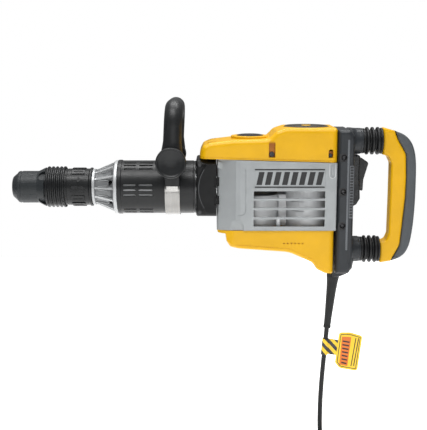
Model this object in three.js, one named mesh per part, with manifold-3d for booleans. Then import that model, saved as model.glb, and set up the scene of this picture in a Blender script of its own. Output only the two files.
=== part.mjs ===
// A heavy demolition hammer. Millimetres, +Z up. The origin is the centre of the tool socket's mouth,
// the hammering axis is X, and the rear handle is at +X. The near side is -Y.
import * as THREE from 'three';
import { mergeVertices } from 'three/addons/utils/BufferGeometryUtils.js';
import Module from 'manifold-3d';

const wasm = await Module();
wasm.setup();

// Driving dimensions.
const GAP = 0.3;                    // clearance between neighbouring pieces
const RUN = 0.6;                    // clearance between faceted pieces that turn or slide in one another
const SHANK_R = 9.1;                // bore for an 18 mm tool shank
const HOLDER_R = 20;                // outside of the tool holder
const CAP = { start: 0, end: 60.7, r: 29 };
const SLEEVE = { start: 61.3, end: 96, r: 36.3 };
const COLLAR = { start: 90, end: 144.8, r: 33.4 };
const NOSE = { start: 145.3, end: 192, front_r: 32.7, rear_r: 48.4 };
const BARREL = { start: 192.3, end: 332.6, r: 48.3, inner: 45 };
const CYLINDER = { start: 192.6, end: 380, r: 40, bore: 27.5 };
const FLANGE = { start: 333, end: 369.7, half: 50, low: -48.5, high: 55 };
const HOUSING = { start: 370, end: 583, half: 53, low: -72, wall: 4 };
const SEAM = { front: 56.4, rear: 49.4, start: 340 };      // the top cover's sloping lower edge
const MOTOR_X = 534;
const CAN_R = 42.6;                 // outside of the motor can
const MODULE = 2.3;                 // of every gear
const TEETH = { rotor: 8, idler: 32, pinion: 13, crank: 34 };
const IDLER_X = MOTOR_X - MODULE * (TEETH.rotor + TEETH.idler) / 2;
const CRANK_X = IDLER_X - MODULE * (TEETH.pinion + TEETH.crank) / 2;
const THROW = 15;                   // crank radius
const ROD = 54;                     // connecting rod, centre to centre
const CLAMP = { start: 277.5, end: 304.5, x: 291, bolt_z: 53.5, bolt_r: 4 };
const BAIL = { leg_y: 66, top_z: 145.5, r: 16, lean: 2.8 };
const REAR = { start: 583.4, end: 614, half: 50 };
const STUB = { upper_z: 84, lower_z: -115.6, r: 24, upper_end: 633.4, lower_end: 634 };
const HANDLE = { upper_x: 669, lower_x: 669.4, half: 16 };
const CORD_R = 4.5;
const COIL = { x: 518, y: -48, mean: 50, half: 18.5, floor: -520, height: 28 };

// ---------- making, joining and cutting solids ----------

function solid(geometry) {
  const bare = geometry.clone();
  for (const name of Object.keys(bare.attributes)) {
    if (name !== 'position') bare.deleteAttribute(name);
  }
  const merged = mergeVertices(bare, 1e-4);
  const index = merged.index.array;
  const kept = [];
  for (let i = 0; i < index.length; i += 3) {
    const [a, b, c] = [index[i], index[i + 1], index[i + 2]];
    if (a !== b && b !== c && c !== a) kept.push(a, b, c);
  }
  const vertProperties = new Float32Array(merged.attributes.position.array);
  return new wasm.Manifold(new wasm.Mesh({ numProp: 3, vertProperties, triVerts: new Uint32Array(kept) }));
}

function union(...geometries) {
  return geometries.map(solid).reduce((sum, next) => sum.add(next));
}

function cut(body, ...tools) {
  const asSolid = (shape) => (shape instanceof THREE.BufferGeometry ? solid(shape) : shape);
  return tools.map(asSolid).reduce((left, tool) => left.subtract(tool), asSolid(body));
}

function common(a, b) {
  return solid(a).intersect(solid(b));
}

function geometryOf(manifold) {
  const mesh = manifold.getMesh();
  const geometry = new THREE.BufferGeometry();
  const xyz = new Float32Array(mesh.vertProperties.length / mesh.numProp * 3);
  for (let i = 0; i < xyz.length / 3; i += 1) {
    xyz.set(mesh.vertProperties.subarray(i * mesh.numProp, i * mesh.numProp + 3), i * 3);
  }
  geometry.setAttribute('position', new THREE.BufferAttribute(xyz, 3));
  geometry.setIndex(new THREE.BufferAttribute(new Uint32Array(mesh.triVerts), 1));
  geometry.computeVertexNormals();
  return geometry;
}

// ---------- shapes ----------

const AXES = {
  x: new THREE.Matrix4().makeRotationZ(-Math.PI / 2),
  y: new THREE.Matrix4(),
  z: new THREE.Matrix4().makeRotationX(Math.PI / 2),
};

// A turned piece: profile points are [place along the axis, radius], closed on themselves or on the axis.
function turned(axis, profile, segments = 24, at = [0, 0, 0]) {
  const points = profile.map(([along, radius]) => new THREE.Vector2(radius, along));
  const open = profile[0][1] > 0;
  if (THREE.ShapeUtils.area(points) < 0) points.reverse();
  if (open) points.push(points[0].clone());
  const geometry = new THREE.LatheGeometry(points, segments);
  geometry.applyMatrix4(AXES[axis]);
  return geometry.translate(...at);
}

function rod(axis, from, to, radius, segments = 14, at = [0, 0, 0]) {
  return turned(axis, [[from, 0], [from, radius], [to, radius], [to, 0]], segments, at);
}

function ring(axis, from, to, outer, inner, segments = 20, at = [0, 0, 0]) {
  return turned(axis, [[from, inner], [from, outer], [to, outer], [to, inner]], segments, at);
}

function box(x, y, z) {
  const geometry = new THREE.BoxGeometry(x[1] - x[0], y[1] - y[0], z[1] - z[0]);
  return geometry.translate((x[0] + x[1]) / 2, (y[0] + y[1]) / 2, (z[0] + z[1]) / 2);
}

// A closed outline; each corner is [x, y] or [x, y, radius of its rounding].
function outline(corners) {
  const shape = new THREE.Shape();
  corners.forEach((corner, i) => {
    const here = new THREE.Vector2(corner[0], corner[1]);
    const before = corners[(i + corners.length - 1) % corners.length];
    const after = corners[(i + 1) % corners.length];
    const radius = corner[2] ?? 0;
    const back = new THREE.Vector2(before[0], before[1]).sub(here);
    const ahead = new THREE.Vector2(after[0], after[1]).sub(here);
    const start = here.clone().add(back.setLength(Math.min(radius, back.length() * 0.49)));
    const end = here.clone().add(ahead.setLength(Math.min(radius, ahead.length() * 0.49)));
    if (i === 0) shape.moveTo(start.x, start.y);
    else shape.lineTo(start.x, start.y);
    if (radius > 0) shape.quadraticCurveTo(here.x, here.y, end.x, end.y);
  });
  shape.closePath();
  return shape;
}

const PLANES = {
  xy: new THREE.Matrix4(),
  xz: new THREE.Matrix4().makeRotationX(Math.PI / 2),
  yz: new THREE.Matrix4().makeBasis(
    new THREE.Vector3(0, 1, 0), new THREE.Vector3(0, 0, 1), new THREE.Vector3(1, 0, 0)),
};

// An outline drawn in a plane and given thickness between two places across it, with rounded rims.
function slab(plane, shape, from, to, rounding = 0, steps = 2, curveSegments = 5) {
  const geometry = new THREE.ExtrudeGeometry(shape, {
    depth: to - from - 2 * rounding, curveSegments, bevelEnabled: rounding > 0,
    bevelSize: rounding, bevelThickness: rounding, bevelOffset: -rounding, bevelSegments: steps,
  });
  geometry.applyMatrix4(PLANES[plane]);
  const start = from + rounding;
  const shift = { xy: [0, 0, start], xz: [0, to - rounding, 0], yz: [start, 0, 0] }[plane];
  return geometry.translate(...shift);
}

function circle(radius, sides) {
  const points = Array.from({ length: sides }, (_, i) => {
    const angle = 2 * Math.PI * i / sides;
    return new THREE.Vector2(radius * Math.cos(angle), radius * Math.sin(angle));
  });
  return new THREE.Shape(points);
}

function tube(points, radius, sides, steps) {
  const path = new THREE.CatmullRomCurve3(points.map((p) => new THREE.Vector3(...p)), false, 'centripetal');
  return new THREE.ExtrudeGeometry(circle(radius, sides), { extrudePath: path, steps, bevelEnabled: false });
}

const degrees = THREE.MathUtils.degToRad;

function aroundX(geometry, angle) {
  return geometry.rotateX(degrees(angle));
}

const pieces = new THREE.Group();

function add(name, shape, color, roughness, metalness = 0) {
  const geometry = shape instanceof THREE.BufferGeometry ? shape : geometryOf(shape);
  const mesh = new THREE.Mesh(geometry, new THREE.MeshStandardMaterial({ color, roughness, metalness }));
  mesh.name = name;
  pieces.add(mesh);
}

const STEEL = [0xb4b7b9, 0.35, 1];
const BLACK = [0x232527, 0.55];
const GREY = [0x474c50, 0.55];
const RUBBER = [0x1d1e1f, 0.8];
const YELLOW = [0xf2b51d, 0.4];
const SILVER = [0xa9aeb0, 0.45, 0.6];

// ---------- chuck ----------

function dustCap() {
  return turned('x', [
    [CAP.start, 10], [CAP.start, 19], [3, 21], [13, 28], [15, CAP.r], [46, CAP.r],
    [CAP.end, 36], [CAP.end, HOLDER_R + GAP], [12, HOLDER_R + GAP], [12, 10],
  ]);
}

const LOCK = { start: 70, end: 84, half: 4 };

function toolHolder() {
  const tubeShape = turned('x', [
    [12.4, SHANK_R], [12.4, 18.5], [14, HOLDER_R], [188, HOLDER_R], [188, 15.6], [132, 15.6], [132, SHANK_R],
  ], 24);
  return cut(tubeShape, box([LOCK.start, LOCK.end], [-30, 30], [-LOCK.half, LOCK.half]));
}

function lockSegment(side) {
  const inner = side * (SHANK_R + GAP);
  const outer = side * (HOLDER_R - GAP);
  const low = Math.min(inner, outer);
  return slab('xz', outline([
    [LOCK.start + GAP, -LOCK.half + GAP, 2], [LOCK.end - GAP, -LOCK.half + GAP, 2],
    [LOCK.end - GAP, LOCK.half - GAP, 2], [LOCK.start + GAP, LOCK.half - GAP, 2],
  ]), low, low + Math.abs(outer - inner));
}

function lockSleeve() {
  const ribs = [68, 76.4, 84.8, 93.2];
  const outside = ribs.flatMap((x) => [
    [x - 2.2, SLEEVE.r], [x, SLEEVE.r + 1.1], [x + 2.2, SLEEVE.r],
  ]);
  return turned('x', [
    [SLEEVE.start, HOLDER_R + RUN], [SLEEVE.start, SLEEVE.r], ...outside,
    [SLEEVE.end, SLEEVE.r - 0.4], [SLEEVE.end, COLLAR.r + 0.9], [70, COLLAR.r + 0.9], [70, HOLDER_R + RUN],
  ], 22);
}

function lockSpring() {
  const turns = 3;
  const points = Array.from({ length: turns * 12 + 1 }, (_, i) => {
    const angle = i * Math.PI / 6;
    return [71.8 + 16.4 * i / (turns * 12), 26 * Math.cos(angle), 26 * Math.sin(angle)];
  });
  return tube(points, 1.3, 5, turns * 12);
}

// Twelve raised grip blocks, one for each working position of the chisel.
function indexCollar() {
  const body = turned('x', [
    [COLLAR.start, HOLDER_R + GAP], [COLLAR.start, COLLAR.r], [141, COLLAR.r], [141.4, 35.2],
    [COLLAR.end, 35.2], [COLLAR.end, HOLDER_R + GAP],
  ], 30);
  const blocks = Array.from({ length: 12 }, (_, i) => aroundX(slab('xy', outline([
    [108, -4], [110, -6], [131, -6], [133, -4], [133, 4], [131, 6], [110, 6], [108, 4],
  ]), 31, 34.9), 30 * i));
  return union(body, ...blocks);
}

// ---------- nose and barrel ----------

function noseCone() {
  const shell = turned('x', [
    [NOSE.start, HOLDER_R + RUN], [NOSE.start, NOSE.front_r], [152, NOSE.front_r], [153, 31], [182, 39],
    [186.4, NOSE.rear_r], [NOSE.end, NOSE.rear_r], [NOSE.end, 44.6], [184, 35.5], [162, 27],
    [162, HOLDER_R + RUN],
  ]);
  const count = 10;
  const pitch = 360 / count;
  const rib = outline([
    [149, 28], [151.5, NOSE.front_r - 0.2], [187, NOSE.rear_r - 0.2], [187, 38], [156, 28],
  ]);
  const ribs = Array.from({ length: count }, (_, i) =>
    aroundX(slab('xz', rib, -1.5, 1.5), (i + 0.5) * pitch));
  const windows = Array.from({ length: count }, (_, i) =>
    aroundX(box([177, 184.6], [-5, 5], [28, 60]), i * pitch));
  return cut(union(shell, ...ribs), ...windows);
}

// Six groups of three cooling slots round the barrel, in two rows along it.
function barrelSleeve() {
  const shell = turned('x', [
    [BARREL.start, BARREL.inner], [BARREL.start, 49.6], [199.4, 49.6], [200.2, BARREL.r],
    [BARREL.end, BARREL.r], [BARREL.end, BARREL.inner],
  ], 30);
  const slots = [];
  for (const [from, to] of [[203.5, 226], [231, 256]]) {
    for (let i = 0; i < 18; i += 1) {
      const angle = 90 + 60 * Math.floor(i / 3) + 11 * (i % 3 - 1);
      slots.push(aroundX(box([from, to], [-1.7, 1.7], [42, 52]), angle));
    }
  }
  return cut(shell, ...slots);
}

function cylinderTube() {
  return ring('x', CYLINDER.start, CYLINDER.end, CYLINDER.r, CYLINDER.bore, 24);
}

function frontFlange() {
  const { start, end, half, low, high } = FLANGE;
  const block = slab('yz', outline([
    [-half, low, 20], [half, low, 20], [half, high, 20], [-half, high, 20],
  ]), start, end, 4, 1, 4);
  const notches = [-26, 7].map((z) => box([end - 4, end + 1], [-60, -half + 3], [z, z + 16]));
  return cut(block, rod('x', start - 1, end + 1, CYLINDER.r + 2 * GAP, 24), ...notches);
}

// ---------- striking mechanism ----------

function beatPiece() {
  return turned('x', [
    [118, 0], [118, 8.5], [135.5, 8.5], [137, 15], [186, 15], [188, 13], [213, 13], [213, 0],
  ], 18);
}

function ram() {
  return turned('x', [
    [231, 0], [231, 12], [236, 26.9], [292, 26.9], [292, 0],
  ]);
}

function piston() {
  return turned('x', [
    [322, 0], [322, 26.9], [370, 26.9], [370, 24.4], [326, 24.4], [326, 0],
  ]);
}

const WRIST_X = CRANK_X - THROW - ROD;
const CRANKPIN_X = CRANK_X - THROW;

function connectingRod() {
  const shape = outline([
    [WRIST_X - 7.6, -8, 6], [WRIST_X + 8, -8, 4], [WRIST_X + 10, -5], [CRANKPIN_X - 10, -6],
    [CRANKPIN_X - 4, -12, 4], [CRANKPIN_X + 12, -12, 9], [CRANKPIN_X + 12, 12, 9], [CRANKPIN_X - 4, 12, 4],
    [CRANKPIN_X - 10, 6], [WRIST_X + 10, 5], [WRIST_X + 8, 8, 4], [WRIST_X - 7.6, 8, 6],
  ]);
  return cut(slab('xy', shape, -5.5, 5.5, 0, 1, 3), rod('z', -7, 7, 7.4, 20, [CRANKPIN_X, 0, 0]),
    rod('z', -7, 7, 4.8, 16, [WRIST_X, 0, 0]));
}

function crankshaft() {
  return union(
    rod('z', -7.5, 11, 6.8, 20, [CRANKPIN_X, 0, 0]),
    rod('z', 9, 19, 24, 32, [CRANK_X, 0, 0]),
    rod('z', 18, 80, 9, 20, [CRANK_X, 0, 0]));
}

// Pointed teeth, thin enough to turn without touching the gear they mesh with.
function gearShape(teeth, turn = 0) {
  const pitch = MODULE * teeth / 2;
  const points = [];
  for (let i = 0; i < teeth; i += 1) {
    for (const [share, radius] of [[0, pitch + 0.8 * MODULE], [0.5, pitch - 1.2 * MODULE]]) {
      const angle = 2 * Math.PI * (i + share) / teeth + turn;
      points.push(new THREE.Vector2(radius * Math.cos(angle), radius * Math.sin(angle)));
    }
  }
  return new THREE.Shape(points);
}

function gear(teeth, x, from, to, turn = 0) {
  return slab('xy', gearShape(teeth, turn), from, to).translate(x, 0, 0);
}

function crankGear() {
  return cut(gear(TEETH.crank, CRANK_X, 50, 62), rod('z', 49, 63, 9 + GAP, 20, [CRANK_X, 0, 0]));
}

// The idler's large gear takes the rotor's drive, and its small one turns the crank gear.
function idlerGear() {
  return union(
    gear(TEETH.idler, IDLER_X, 33, 43),
    gear(TEETH.pinion, IDLER_X, 48, 64),
    rod('z', 24, 74, 8, 16, [IDLER_X, 0, 0]));
}

function bearing(x, from, to, outer, inner) {
  return ring('z', from, to, outer, inner, 20, [x, 0, 0]);
}

// The shaft, its driving pinion and the commutator pressed on it.
function rotorShaft() {
  const halfTooth = Math.PI / TEETH.rotor;
  return union(
    rod('z', -117, 47, 5.5, 16, [MOTOR_X, 0, 0]),
    rod('z', -104, -87, 13, 24, [MOTOR_X, 0, 0]),
    gear(TEETH.rotor, MOTOR_X, 30, 46, halfTooth));
}

function rotorCore() {
  const slots = 8;
  const points = [];
  for (let i = 0; i < slots; i += 1) {
    for (const [share, radius] of [[0.08, 25], [0.72, 25], [0.74, 21], [0.98, 21]]) {
      const angle = 2 * Math.PI * (i + share) / slots;
      points.push(new THREE.Vector2(radius * Math.cos(angle), radius * Math.sin(angle)));
    }
  }
  const core = slab('xy', new THREE.Shape(points), -76, -22).translate(MOTOR_X, 0, 0);
  const windings = rod('z', -84, -14, 20, 16, [MOTOR_X, 0, 0]);
  return cut(union(core, windings), rod('z', -90, 0, 5.5 + GAP, 16, [MOTOR_X, 0, 0]));
}

function coolingFan() {
  const hub = ring('z', -11, 3, 12, 5.5 + GAP, 14, [MOTOR_X, 0, 0]);
  const plate = ring('z', -11, -9.4, 38, 11, 24, [MOTOR_X, 0, 0]);
  const blades = Array.from({ length: 7 }, (_, i) => box([11, 36], [-0.8, 0.8], [-10, 2])
    .rotateZ(i * 2 * Math.PI / 7).translate(MOTOR_X, 0, 0));
  return union(hub, plate, ...blades);
}

function stator() {
  const body = ring('z', -80, -18, CAN_R - 3.2, 26.4, 28, [MOTOR_X, 0, 0]);
  const grooves = [0, 90, 180, 270].map((angle) => box([CAN_R - 5, CAN_R], [-5, 5], [-90, 0])
    .rotateZ(degrees(angle)).translate(MOTOR_X, 0, 0));
  return cut(body, ...grooves);
}

// The field casting: the motor's can with a shorter drum in front of it.
function motorCan() {
  const can = turned('z', [
    [-96, CAN_R - 2.6], [-96, CAN_R], [6, CAN_R], [10, CAN_R - 4], [10, 15.6], [6.5, 15.6],
    [6.5, CAN_R - 2.6],
  ], 28, [MOTOR_X, 0, 0]);
  const front = ring('z', -68, -11, 38, 34, 28, [CRANK_X + 14, 0, 0]);
  const web = box([CRANK_X + 46, MOTOR_X - CAN_R + 6], [-22, 22], [-68, -11]);
  const inside = rod('z', -97, 6.5, CAN_R - 2.6, 28, [MOTOR_X, 0, 0]);
  const slits = [-21, -38].map((z) => box([MOTOR_X - 32, MOTOR_X - 6], [-60, -30], [z - 1.6, z + 1.6]));
  return cut(union(can, front, web), inside, ...slits);
}

function brush(side) {
  const y = [13.6, 25].map((v) => side * v).sort((a, b) => a - b);
  return box([MOTOR_X - 5, MOTOR_X + 5], y, [-101, -90]);
}

// ---------- housings ----------

const seamAt = (x) => SEAM.front + (SEAM.rear - SEAM.front) * (x - SEAM.start) / (HOUSING.end - SEAM.start);

function gearHousing() {
  const { start, end, half, low, wall } = HOUSING;
  const side = (grow, top, bottom) => slab('xz', outline([
    [start - 1, low + bottom], [end + 1, low + bottom], [end + 1, seamAt(end) + top],
    [start - 1, seamAt(start) + top],
  ]), -half - grow, half + grow);
  const plan = (inset) => slab('xy', outline([
    [start + 2 * inset, -43 + inset, 6], [start + 42, -half + inset, 20], [end - inset, -half + inset, 2],
    [end - inset, half - inset, 2], [start + 42, half - inset, 20], [start + 2 * inset, 43 - inset, 6],
  ]), -150, 150, 0, 2, 4);
  const outer = common(side(1, -GAP, 0), plan(0));
  const inner = common(side(1, 9, -9), plan(wall));
  const louvres = Array.from({ length: 4 }, (_, i) => {
    const top = -0.8 - 16.8 * i;
    return box([435.5, 562], [-80, 80], [top - 13.2, top]);
  });
  const groove = slab('xz', outline([[569.5, 23, 5.5], [578.5, 23, 5.5], [578.5, 60], [569.5, 60]]),
    -80, -half + 1.6, 0, 1, 3);
  const ridge = slab('xz', outline([
    [572.6, 27, 2], [575.4, 27, 2], [575.4, 44], [572.6, 44],
  ]), -half + 0.4, -half + 3);
  const bore = rod('x', start - 5, start + 20, CYLINDER.r + 2 * GAP, 24);
  return cut(outer, inner, bore, ...louvres, groove).add(solid(ridge));
}

const HUMP_TOP = 110.6;

function coverOutline(inset) {
  return outline([
    [SEAM.start + inset, 20], [SEAM.start + inset, 67 - inset], [345.6 + inset, 79 - inset],
    [359 + inset, 84.5 - inset], [399, 89.4 - inset], [462 + inset, 91 - inset], [474 + inset, 104.8 - inset],
    [492 + inset, HUMP_TOP - inset], [HOUSING.end - inset, HUMP_TOP - inset], [HOUSING.end - inset, 20],
  ]);
}

const BOSS = { x: 430, r: 34.5, top: 94.3 };
const SCREW_NOTCHES = [[461.5, 473, 58.5, 87], [566.5, 575, 58, 73]];   // from and to along X, then along Z
const VENT = { x: 531.5, r: 40.5, depth: 3 };

function coverPlan(inset) {
  const half = 51 - inset;
  return slab('xy', outline([
    [SEAM.start + inset, -half, 16], [HOUSING.end - inset, -half, 3],
    [HOUSING.end - inset, half, 3], [SEAM.start + inset, half, 16],
  ]), 0, 150, 0, 2, 4);
}

function topCover() {
  const below = slab('xz', outline([
    [300, -10], [620, -10], [620, seamAt(620)], [300, seamAt(300)],
  ]), -70, 70);
  const outer = common(slab('xz', coverOutline(0), -51, 51, 9, 2, 3), coverPlan(0));
  const boss = turned('z', [
    [60, 0], [60, BOSS.r], [BOSS.top - 2, BOSS.r], [BOSS.top, BOSS.r - 2], [BOSS.top, 0],
  ], 28, [BOSS.x, 0, 0]);
  const pillars = union(box([458, 477], [-60, -38], [0, 120]), box([458, 477], [38, 60], [0, 120]),
    box([563, 590], [-60, -40], [0, 84]), box([563, 590], [40, 60], [0, 84]));
  const hollow = common(slab('xz', coverOutline(4.5), -46.5, 46.5), coverPlan(4.5)).subtract(pillars);
  const notch = ([x0, x1, z0, z1], side) => {
    const y = [side * 43, side * 60].sort((a, b) => a - b);
    return slab('xz', outline([[x0, z0], [x1, z0], [x1, z1, 5], [x0, z1, 5]]), ...y, 0, 1, 3);
  };
  const notches = [-1, 1].flatMap((side) => SCREW_NOTCHES.map((place) => notch(place, side)));
  const seat = rod('z', BOSS.top - 3.4, BOSS.top + 9, 23.9 + GAP, 28, [BOSS.x, 0, 0]);
  const vent = rod('z', HUMP_TOP - VENT.depth, 120, VENT.r + GAP, 28, [VENT.x, 0, 0]);
  const whole = outer.add(solid(boss)).subtract(hollow);
  return cut(whole, below, seat, vent, ...notches);
}

function crankCap() {
  return turned('z', [
    [BOSS.top - 3.1, 0], [BOSS.top - 3.1, 23.9], [BOSS.top + 0.5, 23.9], [BOSS.top + 1.8, 19],
    [BOSS.top + 2.2, 8], [BOSS.top + 2.2, 0],
  ], 28, [BOSS.x, 0, 0]);
}

function ventCap() {
  const disc = turned('z', [
    [HUMP_TOP - VENT.depth + GAP, 0], [HUMP_TOP - VENT.depth + GAP, VENT.r], [HUMP_TOP + 0.2, VENT.r],
    [HUMP_TOP + 1.6, VENT.r - 3], [HUMP_TOP + 1.6, 0],
  ], 28, [VENT.x, 0, 0]);
  const depth = [HUMP_TOP - 0.4, HUMP_TOP + 4];
  const slots = Array.from({ length: 12 }, (_, i) => box([24, 35], [-1.6, 1.6], depth)
    .rotateZ(i * Math.PI / 6).translate(VENT.x, 0, 0));
  return cut(disc, ...slots);
}

function bottomHousing() {
  const top = HOUSING.low - GAP;
  const high = -50;
  const underside = [
    [371, -77], [386, -79], [387, -93], [394, -103], [409, -106.4], [500, -113], [545, -134], [549, -142],
    [565, -151.8],
  ];
  const profile = (inset) => {
    const rear = HOUSING.end - 3 - 0.6 * inset;
    return outline([
      [371 + inset, high], ...underside.map(([x, z]) => [x + inset, z + inset]), [rear, -153 + inset],
      [rear, high],
    ]);
  };
  const plan = (inset) => slab('xy', outline([
    [370 + inset, -40 + inset, 10], [400, -51 + inset, 20], [HOUSING.end + 9, -51 + inset],
    [HOUSING.end + 9, 51 - inset], [400, 51 - inset, 20], [370 + inset, 40 - inset, 10],
  ]), -200, -20, 0, 2, 4);
  const outer = common(slab('xz', profile(0), -51, 51, 9, 2, 3), plan(0));
  const inner = common(slab('xz', profile(4), -46, 46), plan(4));
  return cut(outer, inner, box([300, 700], [-80, 80], [top, 0]));
}

const GUARD = { x: 587.6, top: -155, r: 12 };
const SCREW_HEIGHTS = [58.5, -2.8, -64];

// Half of the rear housing: a column with a round stub for each end of the handle.
function rearHousing(side) {
  const column = slab('xz', outline([
    [REAR.start, -152.5], [REAR.end - 6, -152.5], [REAR.end, -141], [REAR.end, 96], [REAR.end - 8, 107],
    [REAR.start, 107],
  ]), -REAR.half, REAR.half, 8, 2, 3);
  const foot = slab('xz', outline([
    [REAR.start, -120], [622, -120], [619, -149], [608, -160], [592, -166], [REAR.start, -166],
  ]), -22, 22, 5);
  const stubs = [[STUB.upper_z, STUB.upper_end], [STUB.lower_z, STUB.lower_end]].map(([z, end]) =>
    turned('x', [[590, 0], [590, STUB.r], [end - 2, STUB.r], [end, STUB.r - 2], [end, 0]], 20, [0, 0, z]));
  const cavity = union(slab('xz', outline([
    [588.5, -100, 3], [609, -100, 3], [609, 62, 3], [588.5, 62, 3],
  ]), -REAR.half + 4, REAR.half - 4));
  const posts = SCREW_HEIGHTS.map((z) => rod('y', -REAR.half + 2, REAR.half - 2, 7, 10, [596, 0, z]));
  const screws = SCREW_HEIGHTS.flatMap((z) => [
    rod('y', -REAR.half - 1, -REAR.half + 13, 5.4, 14, [594.5, 0, z]),
    rod('y', -REAR.half, 22, 2.8, 8, [594.5, 0, z]),
  ]);
  const bores = [STUB.upper_z, STUB.lower_z].map((z) => rod('x', 589, 660, 8.9, 14, [0, 0, z]));
  const window = box([600, 630], [-12.5, 12.5], [5.5, 46.5]);
  const guardSeat = rod('z', -175, -130, GUARD.r + GAP, 16, [GUARD.x, 0, 0]);
  const hollow = cavity.subtract(union(...posts));
  const whole = cut(union(column, foot, ...stubs), hollow, ...screws, ...bores, window, guardSeat);
  const keep = box([500, 700], side < 0 ? [-90, -GAP / 2] : [GAP / 2, 90], [-200, 200]);
  return whole.intersect(solid(keep));
}

function housingScrew(z) {
  return union(
    turned('y', [[-REAR.half + 4, 0], [-REAR.half + 4, 3], [-REAR.half + 5, 4.8], [-REAR.half + 12, 4.8],
      [-REAR.half + 12, 0]], 12, [594.5, 0, z]),
    rod('y', -REAR.half + 11, 21, 2.2, 8, [594.5, 0, z]));
}

// ---------- switch ----------

const ROCKER = { x: 622, z: 24, half: 9 };

function switchBezel() {
  const plate = slab('xz', outline([
    [REAR.end + GAP, -36], [624, -31], [630.5, -20], [628, 30], [629, 59], [REAR.end + GAP, 59],
  ]), -15, 15, 2.5, 2, 4);
  return cut(plate, box([600, 650], [-ROCKER.half - 1, ROCKER.half + 1], [-12.5, 56]));
}

function rockerSwitch() {
  return slab('xz', outline([
    [ROCKER.x - 4, -3], [636, -7], [636, 14, 6], [645, 43], [644, 46], [633, 53.5], [ROCKER.x - 2, 53.5],
  ]), -ROCKER.half, ROCKER.half, 1.5);
}

function switchBody() {
  return box([590, REAR.end - 0.4], [-12, 12], [6, 46]);
}

// ---------- side handle ----------

function clampSaddle() {
  const arch = slab('yz', outline([
    [-51.6, 8], [-51.6, 44, 12], [-40, 64, 10], [40, 64, 10], [51.6, 44, 12], [51.6, 8],
  ]), CLAMP.start, CLAMP.end, 1.5);
  const opening = rod('x', CLAMP.start - 1, CLAMP.end + 1, BARREL.r + RUN, 36);
  return cut(arch, opening, rod('y', -60, 60, CLAMP.bolt_r + 0.5, 16, [CLAMP.x, 0, CLAMP.bolt_z]));
}

function clampBand() {
  const whole = ring('x', CLAMP.start, CLAMP.end, 51.2, BARREL.r + RUN, 36);
  return cut(whole, box([0, 700], [-70, 70], [8 - GAP, 90]));
}

function clampBolt() {
  const nut = rod('y', 83.2, 92, 9, 6, [CLAMP.x, 0, CLAMP.bolt_z]);
  return union(rod('y', -86, 84, CLAMP.bolt_r, 16, [CLAMP.x, 0, CLAMP.bolt_z]), nut);
}

// A bail: two legs up from the cross bolt and a round grip bar between them.
function sideHandle() {
  const height = BAIL.top_z - CLAMP.bolt_z;
  const bend = 30;
  const arc = (sign) => Array.from({ length: 4 }, (_, i) => {
    const angle = (i + 0.5) * Math.PI / 8;
    const turn = sign < 0 ? angle : Math.PI / 2 - angle;
    return [0, sign * (BAIL.leg_y - bend + bend * Math.cos(turn)), height - bend + bend * Math.sin(turn)];
  });
  const loop = tube([
    [0, -BAIL.leg_y, 4], [0, -BAIL.leg_y, 30], [0, -BAIL.leg_y, height - bend - 6], ...arc(-1),
    [0, -20, height], [0, 20, height], ...arc(1),
    [0, BAIL.leg_y, height - bend - 6], [0, BAIL.leg_y, 30], [0, BAIL.leg_y, 4],
  ], BAIL.r, 12, 16);
  const bosses = [-1, 1].map((side) => {
    const y = [side * 52.4, side * 82.4].sort((a, b) => a - b);
    return turned('y', [
      [y[0], 0], [y[0], 19.5], [y[0] + 2, 21.5], [y[1] - 2, 21.5], [y[1], 19.5], [y[1], 0],
    ], 18);
  });
  const inside = box([-40, 40], [-52.4, 52.4], [-30, 27]);
  const hole = rod('y', -100, 100, CLAMP.bolt_r + 0.8, 18);
  const whole = cut(union(loop, ...bosses), inside, hole);
  return geometryOf(whole).rotateY(degrees(BAIL.lean)).translate(CLAMP.x, 0, CLAMP.bolt_z);
}

function clampKnob() {
  const grip = turned('y', [
    [-97, 0], [-97, 3], [-93.5, 4], [-93.5, 21], [-95.5, 23.6], [-95, 25.6], [-93, 26.7], [-86, 26.7],
    [-84.4, 24.4], [-83.1, 15], [-83.1, 0],
  ], 22, [CLAMP.x, 0, CLAMP.bolt_z]);
  return cut(grip, rod('y', -88, -70, CLAMP.bolt_r + 0.8, 16, [CLAMP.x, 0, CLAMP.bolt_z]));
}

// ---------- rear handle ----------

// The line where the grip's rubber meets the frame, from top to bottom.
const JOIN = [
  [689.8, 103], [696.2, 87], [711.6, 61], [713.4, 20], [712.9, -19], [705.8, -106.5], [690.1, -136],
];

function handleFrame() {
  const inner = [
    [HANDLE.upper_x, 60], [678.4, 57, 8], [684.8, 44, 12], [685, -20, 20], [684.6, -86, 12], [680, -97, 8],
    [HANDLE.lower_x, -101],
  ];
  const shape = outline([
    ...JOIN.map(([x, z]) => [x - GAP, z]), [HANDLE.lower_x, -139.6], ...inner.reverse(),
    [HANDLE.upper_x, 109],
  ]);
  const bores = [[STUB.upper_z, HANDLE.upper_x], [STUB.lower_z, HANDLE.lower_x]].map(([z, x]) =>
    rod('x', x - 5, x + 15.4, 8.4, 14, [0, 0, z]));
  return cut(slab('xz', shape, -HANDLE.half, HANDLE.half, 5, 2, 3), ...bores);
}

function rearGrip() {
  const outer = [
    [690.8, -135.6], [714.5, -123.8, 13], [725.8, -97.7, 18], [731, -36.8, 20], [731, 41, 16],
    [725, 70, 13], [711, 93, 12], [690.9, 103],
  ];
  const shape = outline([...JOIN.slice(1, -1).map(([x, z]) => [x + GAP, z]), ...outer]);
  return slab('xz', shape, -HANDLE.half, HANDLE.half, 5, 2, 3);
}

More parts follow.
